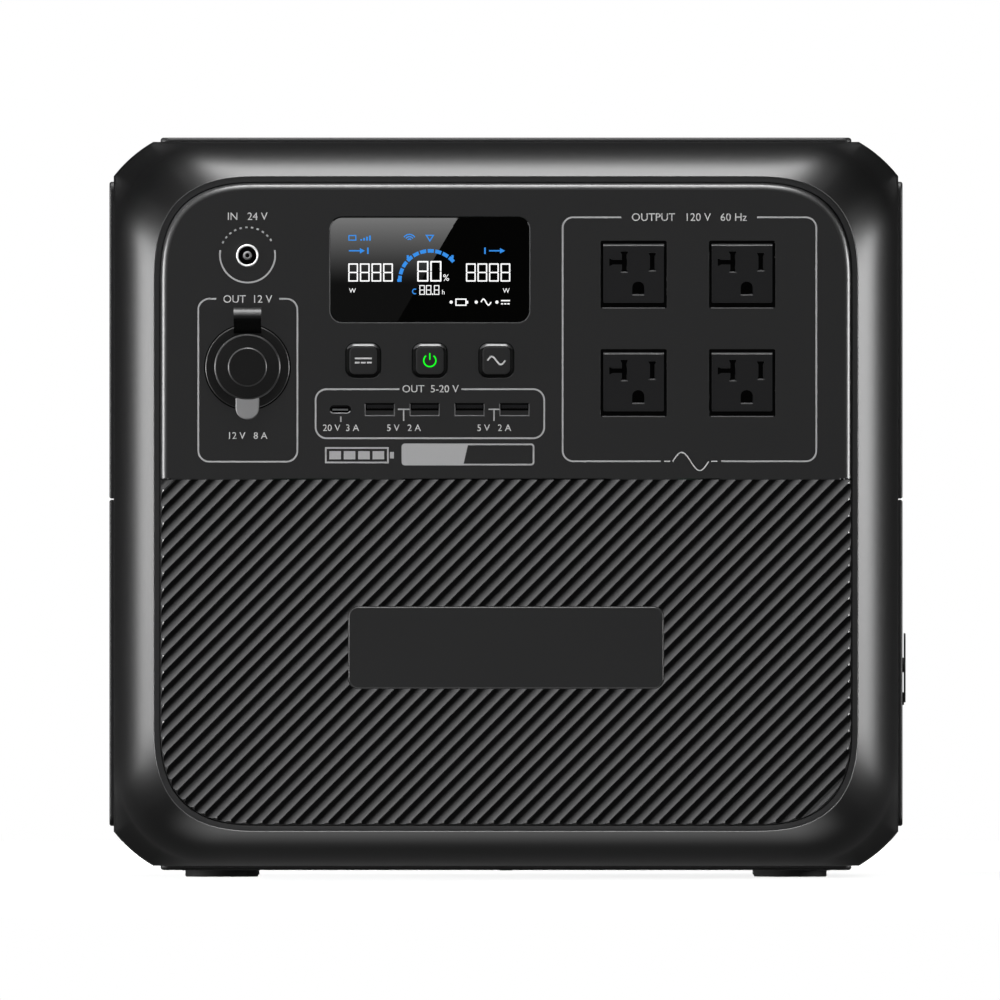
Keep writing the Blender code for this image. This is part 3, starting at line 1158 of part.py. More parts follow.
def make_electronics(leg_x, y0, y1, shelf_z):
    """Sheet-metal shelf that stands over the battery, with the inverter board and its heat sink."""
    floor = INNER_BOTTOM + CLEARANCE
    t = SHELF_THICKNESS
    outline = [(-leg_x - t, floor), (-leg_x, floor), (-leg_x, shelf_z - t), (leg_x, shelf_z - t), (leg_x, floor),
               (leg_x + t, floor), (leg_x + t, shelf_z), (-leg_x - t, shelf_z)]
    shelf = plate("chassis_shelf", [outline], "front", (y0 + y1) / 2, y1 - y0, SHEET)
    margin = FAN_WINDOW_LIP * 3
    cut(shelf, block("shelf_window", (-WIDTH, y0 + margin, floor + TRAY_HEIGHT),
                     (WIDTH, y1 - margin, shelf_z - t - margin), SHEET, helper=True))
    middle = (y0 + y1) / 2
    half_x = INVERTER_LENGTH / 2
    half_y = INVERTER_WIDTH / 2
    board_z = shelf_z + INVERTER_GAP
    top = board_z + BOARD_THICKNESS
    sunk = board_z + BOARD_THICKNESS / 2
    board = block("inverter_board", (-half_x, middle - half_y, board_z), (half_x, middle + half_y, top), BOARD)
    for index, (sx, sy) in enumerate(((-1, -1), (1, -1), (1, 1), (-1, 1))):
        x = sx * (half_x - 4 * SPACER_RADIUS)
        y = middle + sy * (half_y - 4 * SPACER_RADIUS)
        low = shelf_z + CLEARANCE - sunk
        join(board, turned(f"inverter_spacer_{index}", ((0, 0), (SPACER_RADIUS, 0), (SPACER_RADIUS, low), (0, low)),
                           (0, 0, 1), (x, y, sunk), BOARD, closed=False, steps=SPACER_STEPS, helper=True))
    size = TRANSFORMER_SIZE
    corner = -half_x + size / 4
    join(board, block("transformer", (corner, middle - size / 2, sunk), (corner + size, middle + size / 2, top + size),
                      BOARD, helper=True))
    for index in range(3):
        x = half_x - 3 * CAPACITOR_RADIUS
        y = middle + (index - 1) * 3 * CAPACITOR_RADIUS
        radius = CAPACITOR_RADIUS
        join(board, turned(f"capacitor_{index}", ((0, CAPACITOR_HEIGHT), (radius, CAPACITOR_HEIGHT), (radius, 0), (0, 0)),
                           (0, 0, 1), (x, y, sunk), BOARD, closed=False, steps=SMALL_STEPS, helper=True))
    low = top + CLEARANCE
    pitch = (HEAT_SINK_WIDTH - FIN_THICKNESS) / (HEAT_SINK_FINS - 1)
    base = HEAT_SINK_HEIGHT / 6
    left = middle - HEAT_SINK_WIDTH / 2
    outline = [(left, low), (left + HEAT_SINK_WIDTH, low)]
    for fin in reversed(range(HEAT_SINK_FINS)):
        near = left + fin * pitch
        tall = low + HEAT_SINK_HEIGHT
        outline += [(near + FIN_THICKNESS, low + base), (near + FIN_THICKNESS, tall), (near, tall), (near, low + base)]
    outline = [outline[0], outline[1]] + outline[3:-1]
    plate("heat_sink", [outline], "side", 0.0, HEAT_SINK_LENGTH, SHEET)


make_frame("front_frame", FRONT_Y, 1)
make_gasket("front_gasket", FRONT_Y, 1)
make_rear()
make_sleeve()
make_flat_covers()
make_feet()
make_side_covers()
make_control_panel()
make_ribbed_panel()
make_display()
make_buttons()
make_ports()
make_jack()
make_car_socket()
make_outlets()
make_inlet()
make_breaker()
for fan_index, fan_sign in enumerate((-1, 1)):
    make_fan(fan_index + 1, SLEEVE_Y + fan_sign * FAN_SPACING / 2)
make_battery()
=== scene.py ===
"""Looks of the portable power station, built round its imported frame. Metres, +Z up, front facing -Y."""

import json
import math

import bmesh
import bpy
from mathutils import Matrix, Vector

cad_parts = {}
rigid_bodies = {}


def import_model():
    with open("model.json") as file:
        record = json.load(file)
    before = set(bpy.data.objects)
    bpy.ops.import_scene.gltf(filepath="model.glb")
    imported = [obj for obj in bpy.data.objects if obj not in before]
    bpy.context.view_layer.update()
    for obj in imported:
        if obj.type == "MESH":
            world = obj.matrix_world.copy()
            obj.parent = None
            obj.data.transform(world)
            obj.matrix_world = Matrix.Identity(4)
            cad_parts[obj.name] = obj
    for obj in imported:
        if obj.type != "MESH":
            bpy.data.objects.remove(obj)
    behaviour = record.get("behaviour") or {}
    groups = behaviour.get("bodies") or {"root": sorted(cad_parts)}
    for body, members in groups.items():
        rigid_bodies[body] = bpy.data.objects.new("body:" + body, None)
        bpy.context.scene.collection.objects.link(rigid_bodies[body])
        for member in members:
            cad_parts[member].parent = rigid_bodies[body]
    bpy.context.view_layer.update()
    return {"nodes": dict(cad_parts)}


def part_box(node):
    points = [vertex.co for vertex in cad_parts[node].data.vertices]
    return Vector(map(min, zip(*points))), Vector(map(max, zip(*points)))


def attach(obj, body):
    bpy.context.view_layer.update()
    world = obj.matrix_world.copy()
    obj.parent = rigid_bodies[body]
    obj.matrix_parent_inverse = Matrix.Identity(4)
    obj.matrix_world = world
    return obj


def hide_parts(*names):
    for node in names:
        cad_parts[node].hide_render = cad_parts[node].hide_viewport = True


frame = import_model()

# Sizes of the pieces
SEAM = 0.0005
PANEL_THICKNESS = 0.003
PANEL_FILLET = 0.0029
PANEL_INSET = 0.0027
BEZEL_SIDE = 0.0176
BEZEL_TOP = 0.0151
BEZEL_DEPTH = 0.035
BEZEL_SETBACK = 0.0003
BEZEL_FIRST_ANGLE = math.radians(38.0)
BEZEL_STEPS = 28
CORNER_STEPS = 10
CORNER_WIDTH = 0.0169
CORNER_HEIGHT = 0.0147
CORNER_BULGE = 0.0011
CORNER_SWEEP = 0.039
CORNER_TURN = 0.70
OPENING_RADIUS = 0.0464
CORNER_POWER = 2.72
FRAME_WALL = 0.003
FRAME_EDGE = 0.0004
LEDGE_DEPTH = 0.0033
LEDGE_THICKNESS = 0.003
LEDGE_WIDTH = 0.006
GASKET_DEPTH = 0.0020
GASKET_WIDTH = 0.0022
COVER_EDGE = 0.0013
COVER_RADIUS = 0.004
RIB_PITCH = 0.005
RIB_DEPTH = 0.0016
RIB_SETBACK = 0.0004
RIB_CREST = 0.00025
RIB_STEPS = 10
SILL_HEIGHT = 0.0004
PAD_FIT = 0.0003
PAD_RINGS = 15
PAD_GROOVE = 0.0003
PAD_THICKNESS = 0.0024
SIDE_EDGE = 0.0010
VENT_LEAN = 0.025
VENT_HALF = 0.0024
VENT_PITCH = 0.0095
LEFT_SLOTS = 10
RIGHT_SLOTS = 6
RIGHT_VENT_SHIFT = 0.022
POCKET_FIT = 0.0006
GRIP_RADIUS = 0.0105
INLET_RADIUS = 0.005
INLET_PAD = 0.0006
INLET_PAD_EDGE = 0.0015
INLET_PAD_HINGE = 0.0042
INLET_PAD_RADIUS = 0.004
BREAKER_CAP = 0.0010
LENS_FIT = 0.0005
LENS_RADIUS = 0.0054
PLATE_RADIUS = 0.0043
PLATE_POCKET = 0.0042
HOLE_ROUNDER = 0.0002
BUTTON_HOLE = 0.0154
BUTTON_HOLE_RADIUS = 0.0042
BUTTON_CAP = 0.0148
BUTTON_CAP_RADIUS = 0.0039
BUTTON_CAP_EDGE = 0.0021
BUTTON_CAP_DEPTH = 0.0050
BUTTON_LIP = 0.0004
PORT_FIT = 0.0001
USB_A_MOUTH = (0.0130, 0.0057)
USB_A_INSIDE = (0.0120, 0.0047)
USB_A_CORNER = 0.0002
USB_A_DEPTH = 0.0100
USB_C_MOUTH = (0.0093, 0.0037)
USB_C_INSIDE = (0.0083, 0.0027)
USB_C_DEPTH = 0.0075
JACK_HOLE = 0.0046
SOCKET_HOLE = 0.0135
SOCKET_FLANGE = 0.0180
STRAP_WIDTH = 0.0118
STRAP_ROLL = 0.0046
STRAP_CENTRE = 0.0210
TAB_HALF = 0.005
OUTLET_HOLE = (0.0284, 0.0290)
OUTLET_HOLE_DROP = 0.0001
OUTLET_HALF = 0.01295
OUTLET_TOP = 0.0130
OUTLET_BOTTOM = 0.0122
OUTLET_DEPTH = 0.0060
OUTLET_CHAMFER = 0.0008
OUTLET_LIP = 0.0006
SLOT_SHIFT = 0.0020
SLOT_RISE = 0.0052
SLOT_REACH = 0.0060
SLOT_HALF = 0.00100
SLOT_FLARE = 0.0006
SLOT_TALL = 0.0092
SLOT_PLAIN = 0.0080
SLOT_ARM = 0.0076
SLOT_ARM_SHIFT = 0.0026
GROUND_HALF = 0.0026
GROUND_LOW = 0.0091
GROUND_HIGH = 0.0031
PRINT_LIFT = 0.00004
PRINT_LINE = 0.00072
TICK_LINE = PRINT_LINE * 0.8
WAVE_LINE = PRINT_LINE * 0.7
SYMBOL_LINE = 0.0007
POWER_LINE = 0.0006
POWER_RADIUS = 0.0026
ARC_STEPS = 12

FLOOR_RADIUS = 2.0
CAMERA_DISTANCE = 20.0
GLARE = 4.8
GLARE_LEAST = 0.13
GLARE_BEHIND = 0.5
WORLD_LEVEL = 0.02
FLOOR_SHEEN = 0.02
FLOOR_FAR_SHEEN = 0.2
FLOOR_DIM = 0.04
FLOOR_PALE = 0.27
APRON_LEVEL = 3.4
APRON_AHEAD = 0.030
APRON_FADE = 0.02

# Photograph scale: metres for each pixel, and where the object's middle and base lie in it
PIXEL = 0.0004282
PIXEL_X = 506.0
PIXEL_BASE = 877.5
PHOTO_SIZE = 1000


def px(u, v):
    """Place on the front of the object, in metres, of a point of the photograph."""
    return (u - PIXEL_X) * PIXEL, (PIXEL_BASE - v) * PIXEL


def middle(node):
    """Middle of a CAD node's box."""
    low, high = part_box(node)
    return (low + high) / 2


PANEL_LOW, PANEL_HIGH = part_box("control_panel")
FRONT_Y = PANEL_LOW.y
PANEL_X = PANEL_HIGH.x
PANEL_TOP = PANEL_HIGH.z
SPLIT_Z = PANEL_LOW.z - SEAM / 2
PANEL_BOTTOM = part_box("ribbed_panel")[0].z
FRAME_LOW, FRAME_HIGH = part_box("front_frame")
FRAME_X = FRAME_HIGH.x
FRAME_Z = (FRAME_LOW.z + FRAME_HIGH.z) / 2
FRAME_H = (FRAME_HIGH.z - FRAME_LOW.z) / 2
FRAME_LENGTH = FRAME_HIGH.y - FRONT_Y
REAR_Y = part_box("rear_panel")[1].y
OPENING_X = FRAME_X - BEZEL_SIDE
OPENING_H = FRAME_H - BEZEL_TOP
PANEL_RADIUS = OPENING_RADIUS - PANEL_INSET


def surface(name, colour, roughness, metallic=0.0, specular=0.5, grain=0.0, grain_size=0.0004, mottle=0.05):
    """Principled material with a fine grain bump and a slight mottle in its roughness."""
    material = bpy.data.materials.new(name)
    material.use_nodes = True
    tree = material.node_tree
    shader = tree.nodes["Principled BSDF"]
    shader.inputs["Base Color"].default_value = (*colour, 1.0)
    shader.inputs["Metallic"].default_value = metallic
    shader.inputs["Roughness"].default_value = roughness
    shader.inputs["Specular IOR Level"].default_value = specular
    place = tree.nodes.new("ShaderNodeTexCoord")
    noise = tree.nodes.new("ShaderNodeTexNoise")
    noise.inputs["Scale"].default_value = 1.0 / grain_size
    noise.inputs["Detail"].default_value = 2.0
    tree.links.new(place.outputs["Object"], noise.inputs["Vector"])
    spread = tree.nodes.new("ShaderNodeMapRange")
    spread.inputs["To Min"].default_value = max(roughness - mottle, 0.0)
    spread.inputs["To Max"].default_value = min(roughness + mottle, 1.0)
    tree.links.new(noise.outputs["Fac"], spread.inputs["Value"])
    tree.links.new(spread.outputs["Result"], shader.inputs["Roughness"])
    if grain > 0.0:
        bump = tree.nodes.new("ShaderNodeBump")
        bump.inputs["Strength"].default_value = grain
        bump.inputs["Distance"].default_value = grain_size / 10
        tree.links.new(noise.outputs["Fac"], bump.inputs["Height"])
        tree.links.new(bump.outputs["Normal"], shader.inputs["Normal"])
    return material


def glowing(name, colour, strength):
    """Principled material that also gives off its own light, for lit segments and symbols."""
    material = surface(name, tuple(0.15 * channel for channel in colour), 0.4)
    shader = material.node_tree.nodes["Principled BSDF"]
    shader.inputs["Emission Color"].default_value = (*colour, 1.0)
    shader.inputs["Emission Strength"].default_value = strength
    return material


SATIN = surface("frame_satin", (0.0009, 0.0009, 0.00095), 0.36, specular=0.45, grain=0.05, grain_size=0.0005)
MATTE = surface("panel_matte", (0.0170, 0.0170, 0.0173), 0.36, specular=0.5, grain=0.06, grain_size=0.0003)
# Pale grey for the frame's softened edges: a painted highlight.
LIP_PAINTED_HIGHLIGHT = surface("frame_lip_painted_highlight", (0.09, 0.09, 0.091), 0.30, specular=1.0)
EDGE = surface("panel_edge", (0.016, 0.016, 0.0163), 0.36, specular=1.0)
RIBBED = surface("rib_matte", (0.0306, 0.0306, 0.031), 0.55, specular=0.0, grain=0.06, grain_size=0.0003)
COVER = surface("cover_plastic", (0.0070, 0.0070, 0.0073), 0.50, specular=0.35, grain=0.12, grain_size=0.0004)
OUTLET = surface("outlet_plastic", (0.0068, 0.0068, 0.0074), 0.38, specular=0.5, grain=0.06, grain_size=0.0003)
# Black painted where shade falls: opening walls, gaps, port and outlet insides, undersides; also the real
# black of the jack's insulator.
BLACK_AND_PAINTED_SHADE = surface("black_and_painted_shade", (0.0012, 0.0012, 0.0012), 0.70, specular=0.05)
RUBBER = surface("rubber_black", (0.0052, 0.0052, 0.0052), 0.60, specular=0.15, grain=0.15, grain_size=0.0005)
GASKET = surface("gasket_grey", (0.0175, 0.0175, 0.018), 0.60, specular=0.35, grain=0.05)
GLASS = surface("lens_black", (0.0006, 0.0006, 0.0005), 0.0, grain_size=0.05, mottle=0.0)
METAL = surface("bright_metal", (0.78, 0.78, 0.79), 0.22, metallic=1.0, grain_size=0.002)
# Grey metal of the jack's pin; on the USB mouths it is painted only on the lower edge, as a highlight.
DULL_METAL = surface("port_metal", (0.16, 0.16, 0.165), 0.35, specular=0.8, grain_size=0.002)
# Inside metal painted dark as the shade of the housing.
SHEET_METAL_PAINTED_SHADE = surface("sheet_metal", (0.05, 0.051, 0.052), 0.40, metallic=1.0, grain=0.05, grain_size=0.001)
BOARD = surface("circuit_board", (0.004, 0.006, 0.005), 0.60, grain=0.05, grain_size=0.001)
# Cell wrap painted dark blue as the shade of the housing.
CELLS_PAINTED_SHADE = surface("cell_wrap", (0.0012, 0.0024, 0.0048), 0.45, grain=0.05, grain_size=0.001)
COPPER = surface("copper_wire", (0.75, 0.36, 0.18), 0.35, metallic=1.0, grain=0.2, grain_size=0.001)
PRINT = surface("print_grey", (0.36, 0.36, 0.364), 0.60)
LABEL = surface("print_white", (0.52, 0.52, 0.52), 0.60)
# Pale grey painted as a highlight: the lens's edge line, the USB-A mouth sides and the USB-C tongue.
RIM_PAINTED_HIGHLIGHT = surface("rim_painted_highlight", (0.10, 0.10, 0.102), 0.35)
# Glossier and paler than the rubber: the paler colour is a painted highlight on rounded edges.
RING_GLOSS_PAINTED_HIGHLIGHT = surface("ring_edge_painted_highlight", (0.02, 0.02, 0.0203), 0.34, specular=0.80)
SILL = surface("sill_grey", (0.012, 0.012, 0.0122), 0.45, specular=0.15)
# Pale grey for the socket cover's tab: the rubber painted lighter as its highlight from above.
TAB_PAINTED_HIGHLIGHT = surface("tab_painted_highlight", (0.146, 0.146, 0.148), 0.55, grain=0.06)
# Near-white diffuse ring: the metal's sheen painted into its colour.
NICKEL_PAINTED_SHEEN = surface("nickel_ring_painted_sheen", (0.86, 0.86, 0.86), 0.35, specular=0.8)
BADGE = surface("badge_grey", (0.36, 0.36, 0.364), 0.60)
WHITE_LIT = glowing("display_white", (0.95, 0.95, 0.95), 1.0)
BLUE_LIT = glowing("display_blue", (0.028, 0.24, 0.72), 1.0)
GREEN_LIT = glowing("symbol_green", (0.0, 0.95, 0.01), 1.0)
SCREW = surface("screw_steel", (0.10, 0.10, 0.105), 0.40, metallic=1.0, grain_size=0.001)


def smooth(mesh, angle=35.0):
    """Smooth shading, with edges over the angle kept sharp."""
    mesh.shade_smooth()
    mesh.set_sharp_from_angle(angle=math.radians(angle))


def placed(name, data):
    """New object in the scene."""
    piece = bpy.data.objects.new(name, data)
    bpy.context.scene.collection.objects.link(piece)
    return piece


def baked(source):
    """Mesh of an object with its modifiers applied."""
    graph = bpy.context.evaluated_depsgraph_get()
    return bpy.data.meshes.new_from_object(source.evaluated_get(graph))


def curve_mesh(curve):
    """Mesh of a curve, which is then thrown away."""
    sketch = placed(curve.name, curve)
    mesh = baked(sketch)
    bpy.data.objects.remove(sketch, do_unlink=True)
    bpy.data.curves.remove(curve)
    return mesh


def finished_mesh(name, bm, material):
    """Mesh of a bmesh, with its material."""
    mesh = bpy.data.meshes.new(name)
    bm.to_mesh(mesh)
    bm.free()
    mesh.materials.append(material)
    return mesh


def absorb(bm, mesh):
    """Move a mesh into a bmesh."""
    bm.from_mesh(mesh)
    bpy.data.meshes.remove(mesh)


def add(name, bm, material, body="housing", replaces=(), slot=None, angle=35.0):
    """Turn a bmesh into a piece that rides on a body."""
    bmesh.ops.recalc_face_normals(bm, faces=bm.faces)
    mesh = finished_mesh(name, bm, material)
    smooth(mesh, angle)
    piece = placed(name, mesh)
    if body:
        settle(piece, body, replaces)
    return piece


def paint(piece, finishes, choose):
    """Add finishes to a piece and give each face the place in its list that the rule picks."""
    for finish in finishes:
        piece.data.materials.append(finish)
    for face in piece.data.polygons:
        face.material_index = choose(face)


def settle(piece, body, replaces=()):
    """Fix a piece to its body and hide the CAD nodes that it stands for."""
    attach(piece, body)
    if replaces:
        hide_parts(*replaces)
    return piece


def rounded_outline(u0, u1, v0, v1, radii, steps=ARC_STEPS):
    """Outline with its own radius at each corner: low left, low right, top right, top left."""
    corners = ((u0, v0, 1, 1), (u1, v0, -1, 1), (u1, v1, -1, -1), (u0, v1, 1, -1))
    points = []
    for index, (u, v, du, dv) in enumerate(corners):
        radius = radii[index]
        if radius <= 0.0:
            points.append((u, v))
            continue
        start = math.pi + index * math.pi / 2
        for step in range(steps + 1):
            angle = start + step * math.pi / 2 / steps
            across, up = du + math.cos(angle), dv + math.sin(angle)
            points.append((u + radius * across, v + radius * up))
    return points


def rounded_box(u, v, width, height, radius, steps=ARC_STEPS):
    """Outline of a rectangle about its middle, with four equal corners."""
    return rounded_outline(u - width / 2, u + width / 2, v - height / 2, v + height / 2, (radius,) * 4, steps)


def circle(u, v, radius, steps=64):
    """Outline of a circle."""
    turn = 2 * math.pi / steps
    return [(u + radius * math.cos(i * turn), v + radius * math.sin(i * turn)) for i in range(steps)]


PLANES = {
    "top": (Matrix.Identity(4), Vector((0, 0, 1))),
    "front": (Matrix(((1, 0, 0, 0), (0, 0, -1, 0), (0, 1, 0, 0), (0, 0, 0, 1))), Vector((0, 1, 0))),
    "side": (Matrix(((0, 0, 1, 0), (1, 0, 0, 0), (0, 1, 0, 0), (0, 0, 0, 1))), Vector((1, 0, 0))),
}


def plate_mesh(outlines, plane, level, thickness, edge=0.0, edge_steps=4):
    """Flat solid from 2D outlines, the first outside and the others holes, its edges rounded."""
    curve = bpy.data.curves.new("sketch", "CURVE")
    curve.dimensions = "2D"
    curve.fill_mode = "BOTH"
    curve.extrude = thickness / 2 - edge
    curve.bevel_depth = edge
    curve.bevel_resolution = edge_steps
    curve.offset = -edge
    for outline in outlines:
        spline = curve.splines.new("POLY")
        spline.points.add(len(outline) - 1)
        for point, (u, v) in zip(spline.points, outline):
            point.co = (u, v, 0.0, 1.0)
        spline.use_cyclic_u = True
    bm = bmesh.new()
    absorb(bm, curve_mesh(curve))
    bmesh.ops.remove_doubles(bm, verts=bm.verts, dist=0.000002)
    turn, normal = PLANES[plane]
    bmesh.ops.transform(bm, matrix=Matrix.Translation(normal * level) @ turn, verts=bm.verts)
    bmesh.ops.recalc_face_normals(bm, faces=bm.faces)
    return bm


def plate(name, outlines, plane, level, thickness, material, edge=0.0, edge_steps=4, **how):
    """Flat piece with rounded edges."""
    return add(name, plate_mesh(outlines, plane, level, thickness, edge, edge_steps), material, **how)


def node_outline(name, radius, grow=0.0, axes=(0, 2)):
    """Rounded outline round a CAD node's box, on two of its axes, grown by a clearance."""
    low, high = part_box(name)
    here = middle(name)
    (u, width), (v, height) = ((here[i], high[i] - low[i] + grow) for i in axes)
    return rounded_box(u, v, width, height, radius)


def node_plate(name, outlines, plane, material, **how):
    """Plate that stands for a CAD node, as thick as the node's box."""
    low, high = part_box(name)
    normal = PLANES[plane][1]
    level = (low + high).dot(normal) / 2
    thickness = (high - low).dot(normal)
    return plate(name + "_skin", outlines, plane, level, thickness, material, replaces=[name], **how)


def block_mesh(low, high):
    """Plain box between two corners."""
    low = Vector(low)
    high = Vector(high)
    bm = bmesh.new()
    bmesh.ops.create_cube(bm, size=1.0)
    bmesh.ops.scale(bm, vec=high - low, verts=bm.verts)
    bmesh.ops.translate(bm, vec=(low + high) / 2, verts=bm.verts)
    return bm


def lathe_mesh(profile, axis, origin, steps=72):
    """Turned solid; the profile lists (radius, height) from its top middle down to its low middle."""
    bm = bmesh.new()
    rings = []
    for radius, height in profile:
        if radius <= 0.0:
            rings.append([bm.verts.new((0, 0, height))])
            continue
        turn = 2 * math.pi / steps
        rings.append([bm.verts.new((radius * math.cos(i * turn), radius * math.sin(i * turn), height))
                      for i in range(steps)])
    for upper, lower in zip(rings, rings[1:]):
        for i in range(steps):
            corners = [upper[i % len(upper)], upper[(i + 1) % len(upper)], lower[(i + 1) % len(lower)],
                       lower[i % len(lower)]]
            unique = list(dict.fromkeys(corners))
            if len(unique) > 2:
                bm.faces.new(unique)
    turn = Vector((0, 0, 1)).rotation_difference(Vector(axis)).to_matrix().to_4x4()
    bmesh.ops.transform(bm, matrix=Matrix.Translation(origin) @ turn, verts=bm.verts)
    bmesh.ops.recalc_face_normals(bm, faces=bm.faces)
    return bm


def lathe(name, profile, axis, origin, material, steps=72, **how):
    """Turned piece."""
    return add(name, lathe_mesh(profile, axis, origin, steps), material, **how)


def round_over(points, radius, steps=4):
    """Profile with each inner corner rounded by the radius."""
    rounded = [points[0]]
    for before, corner, after in zip(points, points[1:], points[2:]):
        here = Vector(corner)
        back = Vector(before) - here
        ahead = Vector(after) - here
        reach = min(radius, back.length * 0.45, ahead.length * 0.45)
        first = here + back.normalized() * reach
        last = here + ahead.normalized() * reach
        for step in range(steps + 1):
            s = step / steps
            point = first * (1 - s) ** 2 + here * 2 * s * (1 - s) + last * s ** 2
            rounded.append((point.x, point.y))
    rounded.append(points[-1])
    return rounded


def gloss_and_paint_highlight(piece):
    """Give the rounded edges of a turned piece, those that face neither along nor across its axis, a glossier
    finish whose paler colour is a painted highlight.
    """
    paint(piece, (RING_GLOSS_PAINTED_HIGHLIGHT,), lambda face: 1 if 0.15 < abs(face.normal.y) < 0.985 else 0)


def from_axis(face, here):
    """How far a face's middle lies from the line that runs through a place to the front."""
    return math.hypot(face.center.x - here.x, face.center.z - here.z)


def solid(name, bm):
    """Loose helper object for the Boolean steps."""
    return add(name, bm, BLACK_AND_PAINTED_SHADE, body=None)


def combine(target, helper, operation):
    """Apply one Boolean step to the target and throw the helper away."""
    step = target.modifiers.new("combine", "BOOLEAN")
    step.operation = operation
    step.solver = "EXACT"
    step.object = helper
    mesh = baked(target)
    target.modifiers.clear()
    spare = (target.data, helper.data)
    target.data = mesh
    bpy.data.objects.remove(helper, do_unlink=True)
    for old in spare:
        bpy.data.meshes.remove(old)
    smooth(target.data)


def even_normals():
    """Let the large flat faces of smooth pieces shade flat, so that only rounded edges turn the light."""
    for piece in bpy.context.scene.objects:
        if piece.type == "MESH" and any(face.use_smooth for face in piece.data.polygons):
            step = piece.modifiers.new("even_normals", "WEIGHTED_NORMAL")
            step.mode = "FACE_AREA"
            step.weight = 50
            step.keep_sharp = True


def soften(piece, width, segments=3, angle=40.0, material=-1):
    """Round the sharp edges of a piece, in its own material or the one at a place in its list."""
    bevel = piece.modifiers.new("soften", "BEVEL")
    bevel.material = material
    bevel.width = width
    bevel.segments = segments
    bevel.limit_method = "ANGLE"
    bevel.angle_limit = math.radians(angle)
    bevel.harden_normals = False


def spread_steps(first, last, count):
    """Evenly spaced values from the first to just before the last."""
    return [first + (last - first) * i / count for i in range(count)]


CORNER_MIDDLE = Vector((OPENING_X - OPENING_RADIUS, OPENING_H - OPENING_RADIUS))
CHAMFER_LOW = math.atan2(FRAME_H - CORNER_HEIGHT - CORNER_MIDDLE.y, FRAME_X - CORNER_MIDDLE.x)
CHAMFER_HIGH = math.atan2(FRAME_H - CORNER_MIDDLE.y, FRAME_X - CORNER_WIDTH - CORNER_MIDDLE.x)
CORNER_ENDS = (0.0, CHAMFER_LOW, CHAMFER_HIGH, math.pi / 2)
CORNER_ANGLES = [angle for first, last in zip(CORNER_ENDS, CORNER_ENDS[1:])
                 for angle in spread_steps(first, last, CORNER_STEPS)] + [math.pi / 2]


def four_corners(arc):
    """Loop of four mirrored copies of a corner that runs from the right side to the top."""
    points = []
    for quadrant, (sx, sz) in enumerate(((1, 1), (-1, 1), (-1, -1), (1, -1))):
        way = arc if quadrant % 2 == 0 else arc[::-1]
        points += [(sx * x, FRAME_Z + sz * z) for x, z in way]
    return points


def octagon(inset):
    """Frame outline with its chamfered, slightly swelling corners, moved in by the inset."""
    slope = math.hypot(CORNER_WIDTH, CORNER_HEIGHT)
    leg_width = CORNER_WIDTH + inset * ((slope - CORNER_WIDTH) / CORNER_HEIGHT - 1)
    leg_height = CORNER_HEIGHT + inset * ((slope - CORNER_HEIGHT) / CORNER_WIDTH - 1)
    low = Vector((FRAME_X - inset, FRAME_H - inset - leg_height))
    high = Vector((FRAME_X - inset - leg_width, FRAME_H - inset))
    normal = Vector((leg_height, leg_width)).normalized()
    arc = []
    for angle in CORNER_ANGLES:
        if angle < CHAMFER_LOW:
            share = math.tan(angle) / math.tan(CHAMFER_LOW)
            arc.append((low.x, CORNER_MIDDLE.y + (low.y - CORNER_MIDDLE.y) * share))
        elif angle > CHAMFER_HIGH:
            share = math.tan(math.pi / 2 - angle) / math.tan(math.pi / 2 - CHAMFER_HIGH)
            arc.append((CORNER_MIDDLE.x + (high.x - CORNER_MIDDLE.x) * share, high.y))
        else:
            s = (angle - CHAMFER_LOW) / (CHAMFER_HIGH - CHAMFER_LOW)
            point = low.lerp(high, s) + normal * 4 * CORNER_BULGE * s * (1 - s)
            arc.append((point.x, point.y))
    return four_corners(arc)


def opening(inset):
    """Opening of the frame moved in by the inset, its corners easing into the sides."""
    arc = []
    for angle in CORNER_ANGLES:
        across, up = math.cos(angle), math.sin(angle)
        reach = (OPENING_RADIUS - inset) / (across ** CORNER_POWER + up ** CORNER_POWER) ** (1 / CORNER_POWER)
        arc.append((CORNER_MIDDLE.x + reach * across, CORNER_MIDDLE.y + reach * up))
    return four_corners(arc)


def swept_outline():
    """Rounded outline that the frame's corners follow before they run out into the octagon."""
    middle_turn = Vector((FRAME_X - CORNER_SWEEP, FRAME_H - CORNER_SWEEP)) - CORNER_MIDDLE
    arc = []
    for angle in CORNER_ANGLES:
        way = Vector((math.cos(angle), math.sin(angle)))
        along = way.dot(middle_turn)
        reach = along + math.sqrt(CORNER_SWEEP ** 2 - middle_turn.length_squared + along ** 2)
        if way.y * reach < middle_turn.y:
            reach = (FRAME_X - CORNER_MIDDLE.x) / way.x
        elif way.x * reach < middle_turn.x:
            reach = (FRAME_H - CORNER_MIDDLE.y) / way.y
        arc.append(tuple(CORNER_MIDDLE + way * reach))
    return four_corners(arc)


def ring_mesh(loops):
    """Closed ring through matching loops, the last joined back to the first."""
    bm = bmesh.new()
    rings = [[bm.verts.new(point) for point in loop] for loop in loops]
    count = len(rings[0])
    for index, ring in enumerate(rings):
        following = rings[(index + 1) % len(rings)]
        for i in range(count):
            j = (i + 1) % count
            bm.faces.new((ring[i], ring[j], following[j], following[i]))
    return bm


def bezel_point(share):
    """Way out from the opening (0) to the outer edge (1) and the depth there."""
    first = math.sin(BEZEL_FIRST_ANGLE)
    angle = BEZEL_FIRST_ANGLE + share * (math.pi / 2 - BEZEL_FIRST_ANGLE)
    out = (math.sin(angle) - first) / (1 - first)
    return out, BEZEL_SETBACK + BEZEL_DEPTH * (1 - math.cos(angle) / math.cos(BEZEL_FIRST_ANGLE))


